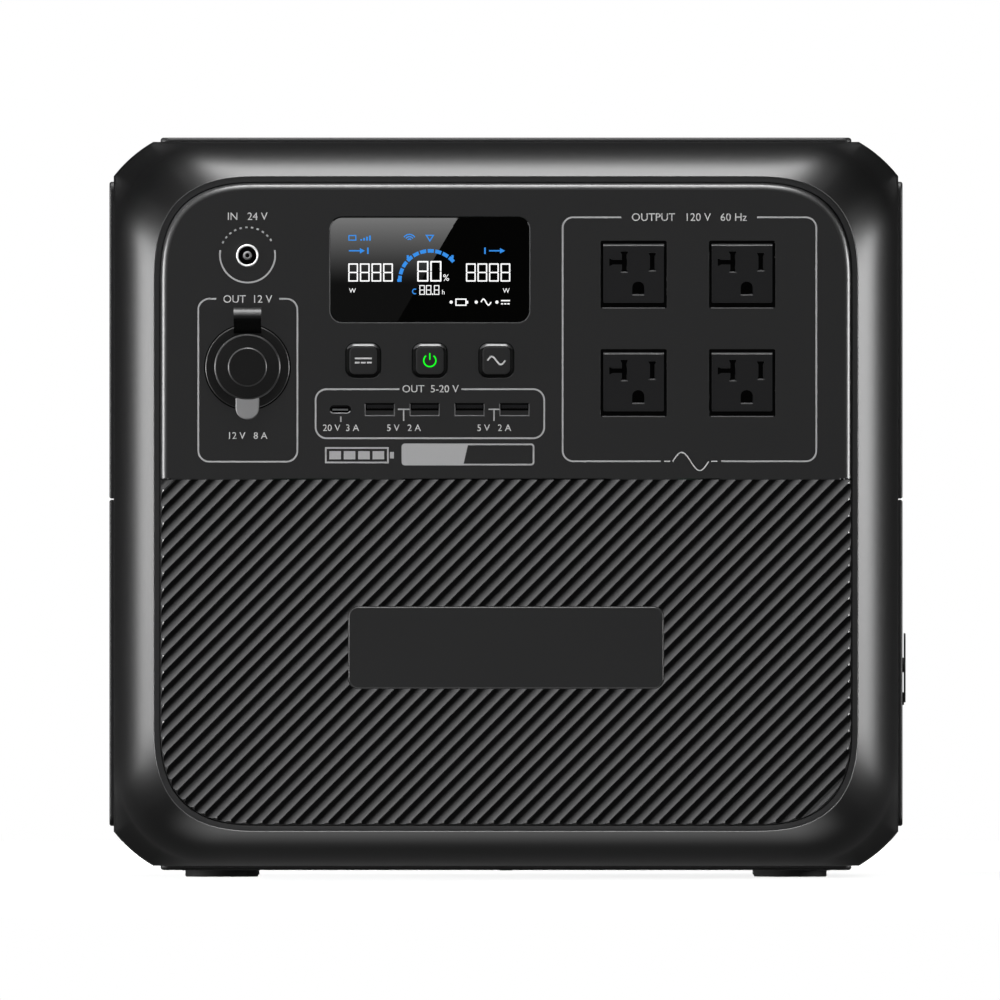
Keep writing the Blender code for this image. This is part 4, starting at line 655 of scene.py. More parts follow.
def make_frame(name, face, sign):
    """Moulded frame, lofted from the rounded opening to the chamfered outline, its softened edges painted
    paler as a highlight.
    """
    inner = opening(0.0)
    swept = swept_outline()
    outer = octagon(0.0)

    def blend(share):
        out, depth = bezel_point(share)
        turn = max((share - CORNER_TURN) / (1 - CORNER_TURN), 0.0) ** 1.5
        loop = []
        for a, b, c in zip(inner, swept, outer):
            x = b[0] + (c[0] - b[0]) * turn
            z = b[1] + (c[1] - b[1]) * turn
            loop.append((a[0] + (x - a[0]) * out, face + sign * depth, a[1] + (z - a[1]) * out))
        return loop

    def level(loop, depth):
        return [(x, face + sign * depth, z) for x, z in loop]

    loops = [blend(step / BEZEL_STEPS) for step in range(BEZEL_STEPS + 1)]
    wall = octagon(FRAME_WALL)
    ledge = opening(LEDGE_WIDTH)
    ledge_back = LEDGE_DEPTH + LEDGE_THICKNESS
    loops += [level(outer, FRAME_LENGTH), level(wall, FRAME_LENGTH), level(wall, BEZEL_SETBACK + BEZEL_DEPTH),
              level(inner, ledge_back), level(ledge, ledge_back), level(ledge, LEDGE_DEPTH),
              level(inner, LEDGE_DEPTH)]
    piece = add(name + "_skin", ring_mesh(loops), SATIN, replaces=[name], angle=50.0)
    # The bevel faces take the pale finish, a painted highlight along the frame's edges.
    piece.data.materials.append(LIP_PAINTED_HIGHLIGHT)
    soften(piece, FRAME_EDGE, angle=45.0, material=1)


def make_shell():
    """Frames, gasket, rear panel, flat covers, charging pad and feet."""
    make_frame("front_frame", FRONT_Y, 1)
    make_frame("rear_frame", REAR_Y, -1)
    section = ((0.0, GASKET_DEPTH), (GASKET_WIDTH, GASKET_DEPTH), (GASKET_WIDTH, LEDGE_DEPTH),
               (0.0, LEDGE_DEPTH))
    loops = [[(x, FRONT_Y + depth, z) for x, z in opening(inset)] for inset, depth in section]
    add("front_gasket_ring", ring_mesh(loops), GASKET, replaces=["front_gasket"])
    rear_inset = OPENING_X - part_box("rear_panel")[1].x
    node_plate("rear_panel", [opening(rear_inset)], "front", MATTE, edge=0.0012)
    pad = middle("charging_pad")
    low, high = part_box("charging_pad")
    radius = (high.x - low.x) / 2
    for cover, holes in (("top_cover", [circle(pad.x, pad.y, radius + PAD_FIT)]), ("base_cover", [])):
        outline = node_outline(cover, COVER_RADIUS, axes=(0, 1))
        node_plate(cover, [outline] + holes, "top", COVER, edge=COVER_EDGE)
    profile = [(0, 0.0)]
    for ring in range(1, PAD_RINGS):
        start = radius * ring / PAD_RINGS
        profile += [(start - 2 * PAD_GROOVE, 0.0), (start - PAD_GROOVE, -PAD_GROOVE),
                    (start + PAD_GROOVE, -PAD_GROOVE), (start + 2 * PAD_GROOVE, 0.0)]
    profile += [(radius - PAD_GROOVE, 0.0), (radius, -PAD_GROOVE), (radius, -PAD_THICKNESS),
                (0, -PAD_THICKNESS)]
    lathe("charging_pad_skin", profile, (0, 0, 1), (pad.x, pad.y, high.z), RUBBER, replaces=["charging_pad"])
    for foot in ("foot_front_left", "foot_front_right", "foot_rear_left", "foot_rear_right"):
        low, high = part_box(foot)
        here = middle(foot)
        size = (high.x - low.x) / 2
        profile = round_over([(0, high.z), (size, high.z), (size, 0.0), (size - 0.004, 0.0),
                              (size - 0.005, 0.0005), (0, 0.0005)], 0.0006)
        lathe(foot + "_skin", profile, (0, 0, 1), (here.x, here.y, 0), RUBBER, replaces=[foot])


def side_cover(side, part, holes):
    """One side cover with its edges rounded and its openings."""
    cover = f"{side}_{part}_cover"
    low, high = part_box(cover)
    round_end = (COVER_RADIUS, COVER_RADIUS)
    corners = (0, 0) + round_end if part == "handle" else round_end + (0, 0)
    outline = rounded_outline(low.y, high.y, low.z, high.z, corners)
    node_plate(cover, [outline] + holes, "side", COVER, edge=SIDE_EDGE)


def vent_slots(centre, z, count):
    """Leaning slots of a vent."""
    slots = []
    for index in range(count):
        y = centre + (index - (count - 1) / 2) * VENT_PITCH
        low, high = y - VENT_LEAN, y + VENT_LEAN
        slots.append([(low - VENT_HALF, z - VENT_LEAN), (low + VENT_HALF, z - VENT_LEAN),
                      (high + VENT_HALF, z + VENT_LEAN), (high - VENT_HALF, z + VENT_LEAN)])
    return slots


def make_sides():
    """Handle and vent covers of both sides, the inlet cover's pad and the breaker button's cap."""
    fan_z = middle("fan_frame_1").z
    sleeve_y = middle("housing_sleeve").y
    for side in ("left", "right"):
        side_cover(side, "handle", [node_outline(side + "_grip_cup", GRIP_RADIUS, POCKET_FIT, (1, 2))])
    side_cover("left", "vent", vent_slots(sleeve_y, fan_z, LEFT_SLOTS))
    breaker = middle("breaker_body")
    collar = circle(breaker.y, breaker.z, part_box("breaker_body")[1].z - breaker.z + POCKET_FIT / 2)
    inlet = node_outline("ac_inlet", INLET_RADIUS, POCKET_FIT, (1, 2))
    side_cover("right", "vent", vent_slots(sleeve_y - RIGHT_VENT_SHIFT, fan_z, RIGHT_SLOTS) + [inlet, collar])
    low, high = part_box("ac_inlet_cover")
    outline = rounded_outline(low.y + INLET_PAD_EDGE, high.y - INLET_PAD_EDGE, low.z + INLET_PAD_EDGE,
                              high.z - INLET_PAD_HINGE, (INLET_PAD_RADIUS,) * 4)
    plate("ac_inlet_cover_pad", [outline], "side", high.x + INLET_PAD / 2, INLET_PAD, RUBBER, edge=0.0002,
          body="ac_inlet_cover")
    low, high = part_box("breaker_button")
    radius = (high.z - low.z) / 2
    profile = round_over([(0, BREAKER_CAP), (radius, BREAKER_CAP), (radius, 0.0), (0, 0.0)], 0.0003)
    lathe("breaker_button_cap", profile, (1, 0, 0), (high.x, breaker.y, breaker.z), RUBBER, steps=48,
          body="breaker_button")


def panel_blank(name, low_z, high_z):
    """Front panel with its rounded rim, kept between two heights."""
    depth = PANEL_FILLET * 3
    blank = plate_mesh([opening(PANEL_INSET)], "front", FRONT_Y + depth / 2, depth, PANEL_FILLET, 8)
    panel = solid(name, blank)
    keep = block_mesh((-1, FRONT_Y - 1, low_z), (1, FRONT_Y + PANEL_THICKNESS, high_z))
    combine(panel, solid("keep", keep), "INTERSECT")
    return panel


BUTTONS = ("dc_button", "power_button", "ac_button")
OUTLETS = [f"ac_outlet_{number}" for number in range(1, 5)]
USB_A = [f"usb_a_port_{number}" for number in range(1, 5)]


def finish_panel(panel, material, name):
    """Give a panel its finish, a polished rim and walls in its openings painted black as shade, and fix it in
    place.
    """
    middle_z = (PANEL_TOP + PANEL_BOTTOM) / 2
    straight_x = PANEL_X - PANEL_RADIUS
    straight_z = (PANEL_TOP - PANEL_BOTTOM) / 2 - PANEL_RADIUS

    def choose(face):
        out_x = max(abs(face.center.x) - straight_x, 0.0)
        out_z = max(abs(face.center.z - middle_z) - straight_z, 0.0)
        out = (out_x ** CORNER_POWER + out_z ** CORNER_POWER) ** (1 / CORNER_POWER)
        if out > PANEL_RADIUS - PANEL_FILLET:
            return 1 if abs(face.normal.y) < 0.999 else 0
        # Walls of the openings are painted black as shade.
        return 2 if abs(face.normal.y) < 0.2 else face.material_index

    panel.data.materials.clear()
    paint(panel, (material, EDGE, BLACK_AND_PAINTED_SHADE), choose)
    settle(panel, "housing", [name])


def make_control_panel():
    """Upper panel: the blank cut at the split, with every opening."""
    panel = panel_blank("control_panel_skin", SPLIT_Z + SEAM / 2, PANEL_TOP + SEAM)
    sizes = {name: (BUTTON_HOLE, BUTTON_HOLE, BUTTON_HOLE_RADIUS) for name in BUTTONS}
    for name in USB_A:
        sizes[name] = (USB_A_MOUTH[0] + PORT_FIT, USB_A_MOUTH[1] + PORT_FIT, USB_A_CORNER, 2)
    sizes["usb_c_port"] = (USB_C_MOUTH[0] + PORT_FIT, USB_C_MOUTH[1] + PORT_FIT, 0.00189)
    holes = [node_outline("display_lens", LENS_RADIUS + HOLE_ROUNDER, LENS_FIT)]
    holes += [rounded_box(middle(name).x, middle(name).z, *size) for name, size in sizes.items()]
    for name, radius in (("dc_jack_ring", JACK_HOLE), ("car_socket_nut", SOCKET_HOLE)):
        holes.append(circle(middle(name).x, middle(name).z, radius))
    for name in OUTLETS:
        holes.append(rounded_box(middle(name).x, middle(name).z - OUTLET_HOLE_DROP, *OUTLET_HOLE, 0.0008, 3))
    cutter = bmesh.new()
    for hole in holes:
        absorb(cutter, finished_mesh("hole", plate_mesh([hole], "front", FRONT_Y, 0.02), BLACK_AND_PAINTED_SHADE))
    combine(panel, solid("panel_holes", cutter), "DIFFERENCE")
    soften(panel, 0.00018, segments=2, angle=60.0)
    finish_panel(panel, MATTE, "control_panel")


def make_ribbed_panel():
    """Lower panel: concave flutes that run out over the rounded rim, and the blank name plate."""
    middle_z = (PANEL_BOTTOM + SPLIT_Z) / 2
    reach = math.hypot(2 * PANEL_X, SPLIT_Z - PANEL_BOTTOM) / 2 + RIB_PITCH
    count = 2 * math.ceil(reach / RIB_PITCH) + 1
    chord = RIB_PITCH - RIB_CREST
    radius = (chord * chord / 4 + RIB_DEPTH * RIB_DEPTH) / (2 * RIB_DEPTH)
    points = []
    for flute in range(count):
        start = (flute - count / 2) * RIB_PITCH + RIB_CREST / 2
        for step in range(RIB_STEPS + 1):
            across = chord * step / RIB_STEPS
            sink = math.sqrt(radius * radius - (across - chord / 2) ** 2) - (radius - RIB_DEPTH)
            points.append((start + across, max(sink, 0.0)))
    points += [(points[-1][0], PANEL_THICKNESS), (points[0][0], PANEL_THICKNESS)]
    bm = plate_mesh([points], "top", 0.0, 2 * reach)
    lean = math.sqrt(0.5)
    turn = Matrix(((lean, 0, lean, 0), (0, 1, 0, 0), (-lean, 0, lean, 0), (0, 0, 0, 1)))
    place = Matrix.Translation((0, FRONT_Y + RIB_SETBACK, middle_z))
    bmesh.ops.transform(bm, matrix=place @ turn, verts=bm.verts)
    panel = panel_blank("ribbed_panel_skin", PANEL_BOTTOM - SEAM, SPLIT_Z - SEAM / 2)
    combine(panel, solid("flutes", bm), "INTERSECT")
    pocket = node_outline("name_plate", PLATE_RADIUS + HOLE_ROUNDER, POCKET_FIT)
    combine(panel, solid("pocket", plate_mesh([pocket], "front", FRONT_Y, PLATE_POCKET)), "DIFFERENCE")
    smooth(panel.data, 30.0)
    finish_panel(panel, RIBBED, "ribbed_panel")
    node_plate("name_plate", [node_outline("name_plate", PLATE_RADIUS)], "front", MATTE, edge=0.0005)


def prism(bm, x0, x1, section):
    """Add a bar along X with the given (y, z) section."""
    rings = [[bm.verts.new((x, y, z)) for y, z in section] for x in (x0, x1)]
    count = len(section)
    for i in range(count):
        j = (i + 1) % count
        bm.faces.new((rings[0][i], rings[0][j], rings[1][j], rings[1][i]))
    bm.faces.new(rings[0])
    bm.faces.new(rings[1][::-1])


def sill_mesh(x, z, width):
    """Small bevel along the lower edge of an opening, which catches the light from above."""
    bm = bmesh.new()
    prism(bm, x - width / 2, x + width / 2,
          [(FRONT_Y, z), (FRONT_Y + SILL_HEIGHT, z + SILL_HEIGHT), (FRONT_Y + SILL_HEIGHT, z)])
    return bm


def make_buttons():
    """Three pillow-shaped push buttons, their side and lower fillets painted black as shade, each in a thin
    lip painted black as shade above and grey below as a highlight.
    """
    for name in BUTTONS:
        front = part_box(name)[0].y
        here = middle(name)
        outline = rounded_box(here.x, here.z, BUTTON_CAP, BUTTON_CAP, BUTTON_CAP_RADIUS)
        cap = plate(name + "_cap", [outline], "front", front + BUTTON_CAP_DEPTH / 2, BUTTON_CAP_DEPTH, MATTE,
                    edge=BUTTON_CAP_EDGE, edge_steps=10, body=name, replaces=[name])
        # Side and lower fillets are painted black as shade; the top fillets take the glossy edge finish.
        paint(cap, (BLACK_AND_PAINTED_SHADE, EDGE),
              lambda face: 0 if face.normal.y <= -0.96 else 2 if face.normal.z > 0.35 else 1)
        loops = []
        for inset, sink in ((0.0, 0.0), (BUTTON_LIP / 2, BUTTON_LIP), (0.0, BUTTON_LIP)):
            size = BUTTON_HOLE - 2 * inset
            outline = rounded_box(here.x, here.z, size, size, BUTTON_HOLE_RADIUS - inset)
            loops.append([(u, FRONT_Y + sink, v) for u, v in outline])
        lip = add(name + "_lip", ring_mesh(loops), BLACK_AND_PAINTED_SHADE)
        # The lip is painted black as shade, its lower part grey as a painted highlight.
        paint(lip, (SILL,), lambda face: 1 if face.center.z < here.z - 0.0055 else 0)


def make_display():
    """Display lens with a pale line painted round its sides and lower edge as the highlight of its bevel."""
    low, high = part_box("display_lens")
    here = middle("display_lens")
    lens = node_outline("display_lens", LENS_RADIUS)
    node_plate("display_lens", [lens], "front", GLASS, edge=0.0004, angle=3.0)
    bm = bmesh.new()
    # Painted highlight line round the lens's sides and lower edge.
    ring = rounded_box(here.x, here.z, high.x - low.x - 0.0002, high.z - low.z - 0.0004, LENS_RADIUS - 0.0002)
    turn = ARC_STEPS // 2
    band(bm, ring[-turn - 1:] + ring[:-3 * turn - 2], 0.0004, low.y - PRINT_LIFT / 2)
    printed("display_lens_rim_highlight", bm, RIM_PAINTED_HIGHLIGHT)


def front_block(name, here, half_width, sink, back, low, high, material):
    """Box behind the front face, from one depth to another, between two heights about a place."""
    add(name, block_mesh((here.x - half_width, FRONT_Y + sink, here.z + low),
                         (here.x + half_width, FRONT_Y + back, here.z + high)), material)


def make_ports():
    """USB ports: a metal mouth painted black as shade at its top and inner walls and paler at its sides and
    lower edge as a highlight, a black back as painted shade, and the tongue.
    """
    for name in USB_A:
        here = middle(name)
        mouth = [rounded_box(here.x, here.z, *USB_A_MOUTH, USB_A_CORNER, 2),
                 rounded_box(here.x, here.z, *USB_A_INSIDE, 0)]
        piece = plate(name + "_mouth", mouth, "front", FRONT_Y + USB_A_DEPTH / 2, USB_A_DEPTH, BLACK_AND_PAINTED_SHADE,
                      edge=0.0001, edge_steps=1, replaces=[name])

        # Mouth faces: top and inner walls painted black as shade, sides pale and lower edge paler as painted
        # highlight.
        def choose(face):
            if face.normal.y >= -0.5 or face.center.z >= here.z + 0.0022:
                return 0
            return 1 if face.center.z > here.z - 0.0022 else 2

        paint(piece, (RIM_PAINTED_HIGHLIGHT, DULL_METAL), choose)
        bm = bmesh.new()
        floor = here.z - USB_A_INSIDE[1] / 2
        prism(bm, here.x - USB_A_INSIDE[0] / 2, here.x + USB_A_INSIDE[0] / 2,
              [(FRONT_Y + 0.0010, floor), (FRONT_Y + 0.0095, floor + 0.0020), (FRONT_Y + 0.0095, floor)])
        add(name + "_floor", bm, RUBBER)
        front_block(name + "_tongue", here, 0.0056, 0.0016, 0.0100, 0.0006, 0.0021, OUTLET)
        # Black back inside the port, painted shade.
        front_block(name + "_back", here, 0.0063, 0.0095, 0.0115, -0.0027, 0.0027, BLACK_AND_PAINTED_SHADE)
    here = middle("usb_c_port")
    mouth = [rounded_box(here.x, here.z, *USB_C_MOUTH, 0.00183),
             rounded_box(here.x, here.z, *USB_C_INSIDE, 0.00133)]
    piece = plate("usb_c_port_mouth", mouth, "front", FRONT_Y + USB_C_DEPTH / 2, USB_C_DEPTH, BLACK_AND_PAINTED_SHADE,
                  edge=0.0002, edge_steps=2, replaces=["usb_c_port"])
    # Lower half of the USB-C mouth painted paler as a highlight, the rest black as shade.
    paint(piece, (DULL_METAL,), lambda face: 1 if face.center.z < here.z - 0.0006 else 0)
    # Tongue painted pale grey as its highlight line.
    front_block("usb_c_port_tongue", here, 0.0033, 0.0008, 0.0070, -0.00035, 0.00035, RIM_PAINTED_HIGHLIGHT)
    back = rounded_box(here.x, here.z, 0.0088, 0.0032, 0.00158)
    # Black back inside the port, painted shade.
    plate("usb_c_port_back", [back], "front", FRONT_Y + 0.0070, 0.0015, BLACK_AND_PAINTED_SHADE)


def make_jack():
    """Round jack: a metal ring painted near-white as its sheen, its throat painted black as shade, and the
    hollow pin.
    """
    here = middle("dc_jack_ring")
    origin = (here.x, FRONT_Y, here.z)
    ring = round_over([(0.0039, -0.010), (0.0039, 0.0008), (0.0048, 0.0008), (0.0048, -0.0002),
                       (0.0044, -0.0004), (0.0044, -0.010)], 0.0003)
    piece = lathe("dc_jack_ring_skin", ring, (0, -1, 0), origin, NICKEL_PAINTED_SHEEN, replaces=["dc_jack_ring"])
    # Inner wall of the ring painted black as shade in the throat.
    paint(piece, (BLACK_AND_PAINTED_SHADE,),
          lambda face: 1 if from_axis(face, here) < 0.0040 and face.center.y > FRONT_Y - 0.0006 else 0)
    core = [(0, -0.003), (0.0009, -0.003), (0.0009, 0.0002), (0.0012, 0.0003), (0.0019, 0.0000),
            (0.0019, -0.006), (0.0038, -0.006), (0.0038, -0.011), (0, -0.011)]
    piece = lathe("dc_jack_core_skin", core, (0, -1, 0), origin, BLACK_AND_PAINTED_SHADE, replaces=["dc_jack_core"])
    paint(piece, (DULL_METAL,),
          lambda face: 1 if from_axis(face, here) < 0.00185 and face.center.y < FRONT_Y + 0.002 else 0)


def make_car_socket():
    """Car socket flange and barrel, and the rubber cover with its strap, roll and tilted tab; a thin ring
    round the flange is painted black as a shadow, and the strap's downward faces are painted black as shade.
    """
    here = middle("car_socket_nut")
    origin = Vector((here.x, FRONT_Y, here.z))
    barrel = round_over([(0.0105, -0.044), (0.0105, 0.0015), (SOCKET_FLANGE, 0.0015),
                         (SOCKET_FLANGE, 0.0002), (0.0186, 0.0001), (0.0186, 0.0), (0.0132, 0.0),
                         (0.0132, -0.046), (0.0, -0.046)], 0.0008)
    piece = lathe("car_socket_barrel_skin", [(0.0, -0.044)] + barrel, (0, -1, 0), origin, RUBBER, steps=96,
                  replaces=["car_socket_barrel"])
    gloss_and_paint_highlight(piece)
    # Painted shadow: the thin ledge round the flange is painted black.
    paint(piece, (BLACK_AND_PAINTED_SHADE,), lambda face: 2 if from_axis(face, here) > SOCKET_FLANGE else face.material_index)
    cap = round_over([(0, 0.0042), (0.0079, 0.0042), (0.0083, 0.0039), (0.0142, 0.0036), (0.0142, 0.0018),
                      (0.0097, 0.0018), (0.0094, -0.0012), (0, -0.0012)], 0.0008)
    piece = lathe("car_socket_cover_disc", cap, (0, -1, 0), origin, RUBBER, steps=96, body="car_socket_cover",
                  replaces=["car_socket_cover"])
    gloss_and_paint_highlight(piece)
    outline = [(0.0132, 0.0016), (0.0132, 0.0017), (0.0144, 0.0017)]
    for step in range(17):
        angle = math.radians(-40 + 150 * step / 16)
        outline.append((STRAP_CENTRE + STRAP_ROLL * math.sin(angle), 0.0022 + STRAP_ROLL * math.cos(angle)))
    outline += [(STRAP_CENTRE, 0.0004), (0.0190, 0.0017)]
    strap = bmesh.new()
    prism(strap, here.x - STRAP_WIDTH / 2, here.x + STRAP_WIDTH / 2,
          [(FRONT_Y - ahead, here.z + up) for up, ahead in outline])
    piece = add("car_socket_cover_strap", strap, SATIN, body="car_socket_cover")
    # Downward faces of the strap painted black as shade.
    paint(piece, (BLACK_AND_PAINTED_SHADE,), lambda face: 1 if face.normal.z < -0.1 else 0)
    tab = rounded_outline(-TAB_HALF, TAB_HALF, -0.0225, -0.0128, (0.00495, 0.00495, 0, 0), steps=16)
    bm = plate_mesh([tab], "front", 0.0, 0.0016, 0.0004, 3)
    for vert in bm.verts:
        drop = max(-0.0136 - vert.co.z, 0.0)
        vert.co.y -= 0.0026 + drop * 0.10
    bmesh.ops.translate(bm, vec=origin, verts=bm.verts)
    # The tab is painted pale grey as a highlight.
    add("car_socket_cover_tab", bm, TAB_PAINTED_HIGHLIGHT, body="car_socket_cover")


def flared_slot(u, v, length, upright):
    """Outline of an outlet slot whose two ends widen."""
    wide = SLOT_HALF + SLOT_FLARE
    reach = length / 2
    ends = ((wide, -reach), (wide, -reach + 0.0003), (SLOT_HALF, -reach + 0.0014),
            (SLOT_HALF, reach - 0.0014), (wide, reach - 0.0003), (wide, reach))
    outline = list(ends) + [(-across, along) for across, along in reversed(ends)]
    return [(u + across, v + along) if upright else (u + along, v - across) for across, along in outline]


def make_outlets():
    """Four outlet faces with flared slots, a chamfered top edge, sloping lower lips and a black block inside
    as painted shade; the chamfer and lips are paler than the face, partly a painted highlight.
    """
    wide = SLOT_HALF + SLOT_FLARE
    for name in OUTLETS:
        here = middle(name)
        x, z = here.x, here.z
        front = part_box(name)[0].y
        back = front + OUTLET_DEPTH
        top = z + OUTLET_TOP
        mid_x = x + SLOT_SHIFT
        mid_z = z + SLOT_RISE
        ground = rounded_outline(mid_x - GROUND_HALF, mid_x + GROUND_HALF, z - GROUND_LOW, z - GROUND_HIGH,
                                 (0, 0, 0.00255, 0.00255))
        slots = (flared_slot(mid_x - SLOT_REACH, mid_z, SLOT_TALL, True),
                 flared_slot(mid_x - SLOT_REACH - SLOT_ARM_SHIFT, mid_z, SLOT_ARM, False),
                 flared_slot(mid_x + SLOT_REACH, mid_z, SLOT_PLAIN, True), ground)
        face = rounded_outline(x - OUTLET_HALF, x + OUTLET_HALF, z - OUTLET_BOTTOM, top - OUTLET_CHAMFER,
                               (0.0006, 0.0006, 0, 0), 3)
        piece = plate(name + "_face", [face], "front", front + OUTLET_DEPTH / 2, OUTLET_DEPTH, OUTLET,
                      replaces=[name])
        for outline in slots:
            combine(piece, solid("slot", plate_mesh([outline], "front", front, 0.03)), "DIFFERENCE")
        bm = bmesh.new()
        prism(bm, x - OUTLET_HALF, x + OUTLET_HALF,
              [(front, top - OUTLET_CHAMFER), (front + OUTLET_CHAMFER, top), (back, top),
               (back, top - OUTLET_CHAMFER)])
        lips = ((-SLOT_REACH, wide, mid_z - SLOT_TALL / 2), (SLOT_REACH, wide, mid_z - SLOT_PLAIN / 2),
                (0.0, GROUND_HALF, z - GROUND_LOW))
        for shift, half, low in lips:
            prism(bm, mid_x + shift - half, mid_x + shift + half,
                  [(front, low), (front + OUTLET_LIP, low + OUTLET_LIP), (front + OUTLET_LIP, low)])
        piece = add(name + "_lips", bm, SILL)
        # The top chamfer takes the paler, glossier edge finish: partly a painted highlight on a real slope.
        paint(piece, (EDGE,), lambda side: 1 if side.center.z > z + 0.011 else 0)
        add(name + "_sill", sill_mesh(x, z - 0.0146, 0.0268), SILL)
        # Black block behind the slots, painted shade.
        front_block(name + "_inside", here, 0.0215, 0.0062, 0.0080, -0.0225, 0.0225, BLACK_AND_PAINTED_SHADE)


def keep_cad():
    """CAD pieces that stay in view get their finish and smooth shading; the cells and the metal inside are
    painted dark as the shade of the housing.
    """
    finishes = {
        COVER: ("housing_sleeve", "ac_inlet", "breaker_body", "fan_frame_1", "fan_frame_2", "fan_rotor_1",
                "fan_rotor_2"),
        MATTE: ("left_grip_cup", "right_grip_cup"),
        RUBBER: ("ac_inlet_cover", "breaker_button"),
        METAL: ("car_socket_nut", "car_socket_contact", "ac_inlet_contacts"),
        SHEET_METAL_PAINTED_SHADE: ("battery_tray", "chassis_shelf", "heat_sink"),
        BOARD: ("display_module", "button_board", "port_board", "outlet_board", "bms_board",
                "inverter_board"),
        CELLS_PAINTED_SHADE: ("battery_cells",),
        COPPER: ("charging_coil",),
    }
    for material, names in finishes.items():
        for name in names:
            mesh = frame["nodes"][name].data
            mesh.materials.clear()
            mesh.materials.append(material)
            smooth(mesh)
    for name in ("left_grip_cup", "right_grip_cup"):
        soften(frame["nodes"][name], 0.0007)
    for name in ("ac_inlet", "ac_inlet_cover"):
        soften(frame["nodes"][name], 0.0003, segments=2)


def band(bm, points, width, y, closed=False):
    """Add a flat printed line along the points, facing the front."""
    count = len(points)
    sides = []
    for index in range(count):
        here = Vector(points[index])
        before = Vector(points[index - 1]) if index or closed else None
        after = Vector(points[(index + 1) % count]) if index < count - 1 or closed else None
        first = (here - before).normalized() if before is not None else (after - here).normalized()
        second = (after - here).normalized() if after is not None else first
        mean = (first + second).normalized()
        normal = Vector((-mean.y, mean.x))
        stretch = 1.0 / max(normal.dot(Vector((-first.y, first.x))), 0.4)
        offset = normal * width / 2 * stretch
        sides.append((bm.verts.new((here.x + offset.x, y, here.y + offset.y)),
                      bm.verts.new((here.x - offset.x, y, here.y - offset.y))))
    for index in range(count if closed else count - 1):
        a = sides[index]
        b = sides[(index + 1) % count]
        bm.faces.new((a[0], a[1], b[1], b[0]))


def polygon(bm, points, y):
    """Add one flat printed shape."""
    bm.faces.new([bm.verts.new((u, y, v)) for u, v in points])


def printed(name, bm, material, body="housing"):
    """Finish a print: every face looks to the front."""
    bm.normal_update()
    bmesh.ops.reverse_faces(bm, faces=[face for face in bm.faces if face.normal.y > 0])
    settle(placed(name, finished_mesh(name, bm, material)), body)


def text_shape(bm, words, u, v, height, y):
    """Add plain numerals or letters, centred on a point, as flat print."""
    curve = bpy.data.curves.new("words", "FONT")
    curve.body = words
    curve.align_x = "CENTER"
    curve.align_y = "CENTER"
    curve.size = height * 1.42
    curve.resolution_u = 3
    mesh = curve_mesh(curve)
    mesh.transform(Matrix(((1, 0, 0, u), (0, 0, -1, y), (0, 1, 0, v), (0, 0, 0, 1))))
    absorb(bm, mesh)


class Ink:
    """Print just in front of a face, placed by points of the photograph; line widths are in metres."""

    def __init__(self, face):
        self.bm = bmesh.new()
        self.y = face - PRINT_LIFT

    def trace(self, width, places, closed=False):
        """Line through places on the front."""
        band(self.bm, places, width, self.y, closed)

    def line(self, width, *points, closed=False):
        """Line through points of the photograph."""
        self.trace(width, [px(u, v) for u, v in points], closed)

    def shape(self, *points):
        """Filled shape."""
        polygon(self.bm, [px(u, v) for u, v in points], self.y)

    def bar(self, *sides):
        """Filled rectangle between its left, top, right and bottom."""
        self.shape(*corners(*sides))

    def words(self, words, u, v, height):
        """Plain numerals or letters about a point."""
        text_shape(self.bm, words, *px(u, v), height * PIXEL, self.y)

    def done(self, name, material, body="housing"):
        """Turn the print into a piece."""
        printed(name, self.bm, material, body)


def corners(left, top, right, bottom):
    """Corners of a rectangle of the photograph."""
    return (left, top), (right, top), (right, bottom), (left, bottom)


def arc(u, v, radius, first, last, steps=40):
    """Points of an arc in the photograph, angles in degrees."""
    turns = [math.radians(first + (last - first) * i / steps) for i in range(steps + 1)]
    return [(u + radius * math.cos(turn), v - radius * math.sin(turn)) for turn in turns]


def wave(u, v, length, height, steps):
    """Points of one full wave that starts upwards at a point."""
    shares = [i / steps for i in range(steps + 1)]
    return [(u + length * share, v - height * math.sin(2 * math.pi * share)) for share in shares]


def broken_outline(left, top, right, bottom, radius, gap, low_gap=None):
    """Rounded frame of a printed group, open at the top between two places, and at the bottom if asked."""
    x0, z1 = px(left, top)
    x1, z0 = px(right, bottom)
    steps = 10
    ring = rounded_outline(x0, x1, z0, z1, (radius * PIXEL,) * 4, steps)
    size = steps + 1
    low_left, low_right, top_right, top_left = (ring[i * size:(i + 1) * size] for i in range(4))
    end, start = (px(u, top) for u in gap)
    if low_gap is None:
        return [[end] + top_left + low_left + low_right + top_right + [start]]
    low_start, low_end = (px(u, bottom) for u in low_gap)
    return [[end] + top_left + low_left + [low_start], [low_end] + low_right + top_right + [start]]


# Points of the photograph for the print on the control panel
GROUP_FRAMES = (
    (198.6, 299, 297.6, 461.7, 11, (216.5, 279.5)),
    (315.8, 389.3, 544.2, 438.3, 11, (399.5, 461.5)),
    (562.6, 217.6, 816.0, 461.3, 10.5, (621, 757), (660.5, 721)),
)
JACK_ARC = (247.8, 255.2, 27.6)
PAIR_TICKS = ((398.0, 409.5), (488.5, 499.5))
PAIR_TICK_TOP = 409.4
PAIR_TICK_LOW = 421
SINGLE_TICK = ((341, 416.5), (341, 422))
RATINGS = (
    ("IN   24 V", 247.5, 217, 7.6),
    ("12 V   8 A", 247.5, 436, 6.8),
    ("OUT  12 V", 247.8, 299.6, 7.6),
    ("OUT  5-20 V", 430.4, 389.3, 7.4),
    ("20 V  3 A", 341, 428.2, 6.6),
    ("5 V   2 A", 403.8, 428.2, 6.6),
    ("5 V   2 A", 494, 428.2, 6.6),
    ("OUTPUT   120 V   60 Hz", 689, 217.8, 7.8),
)
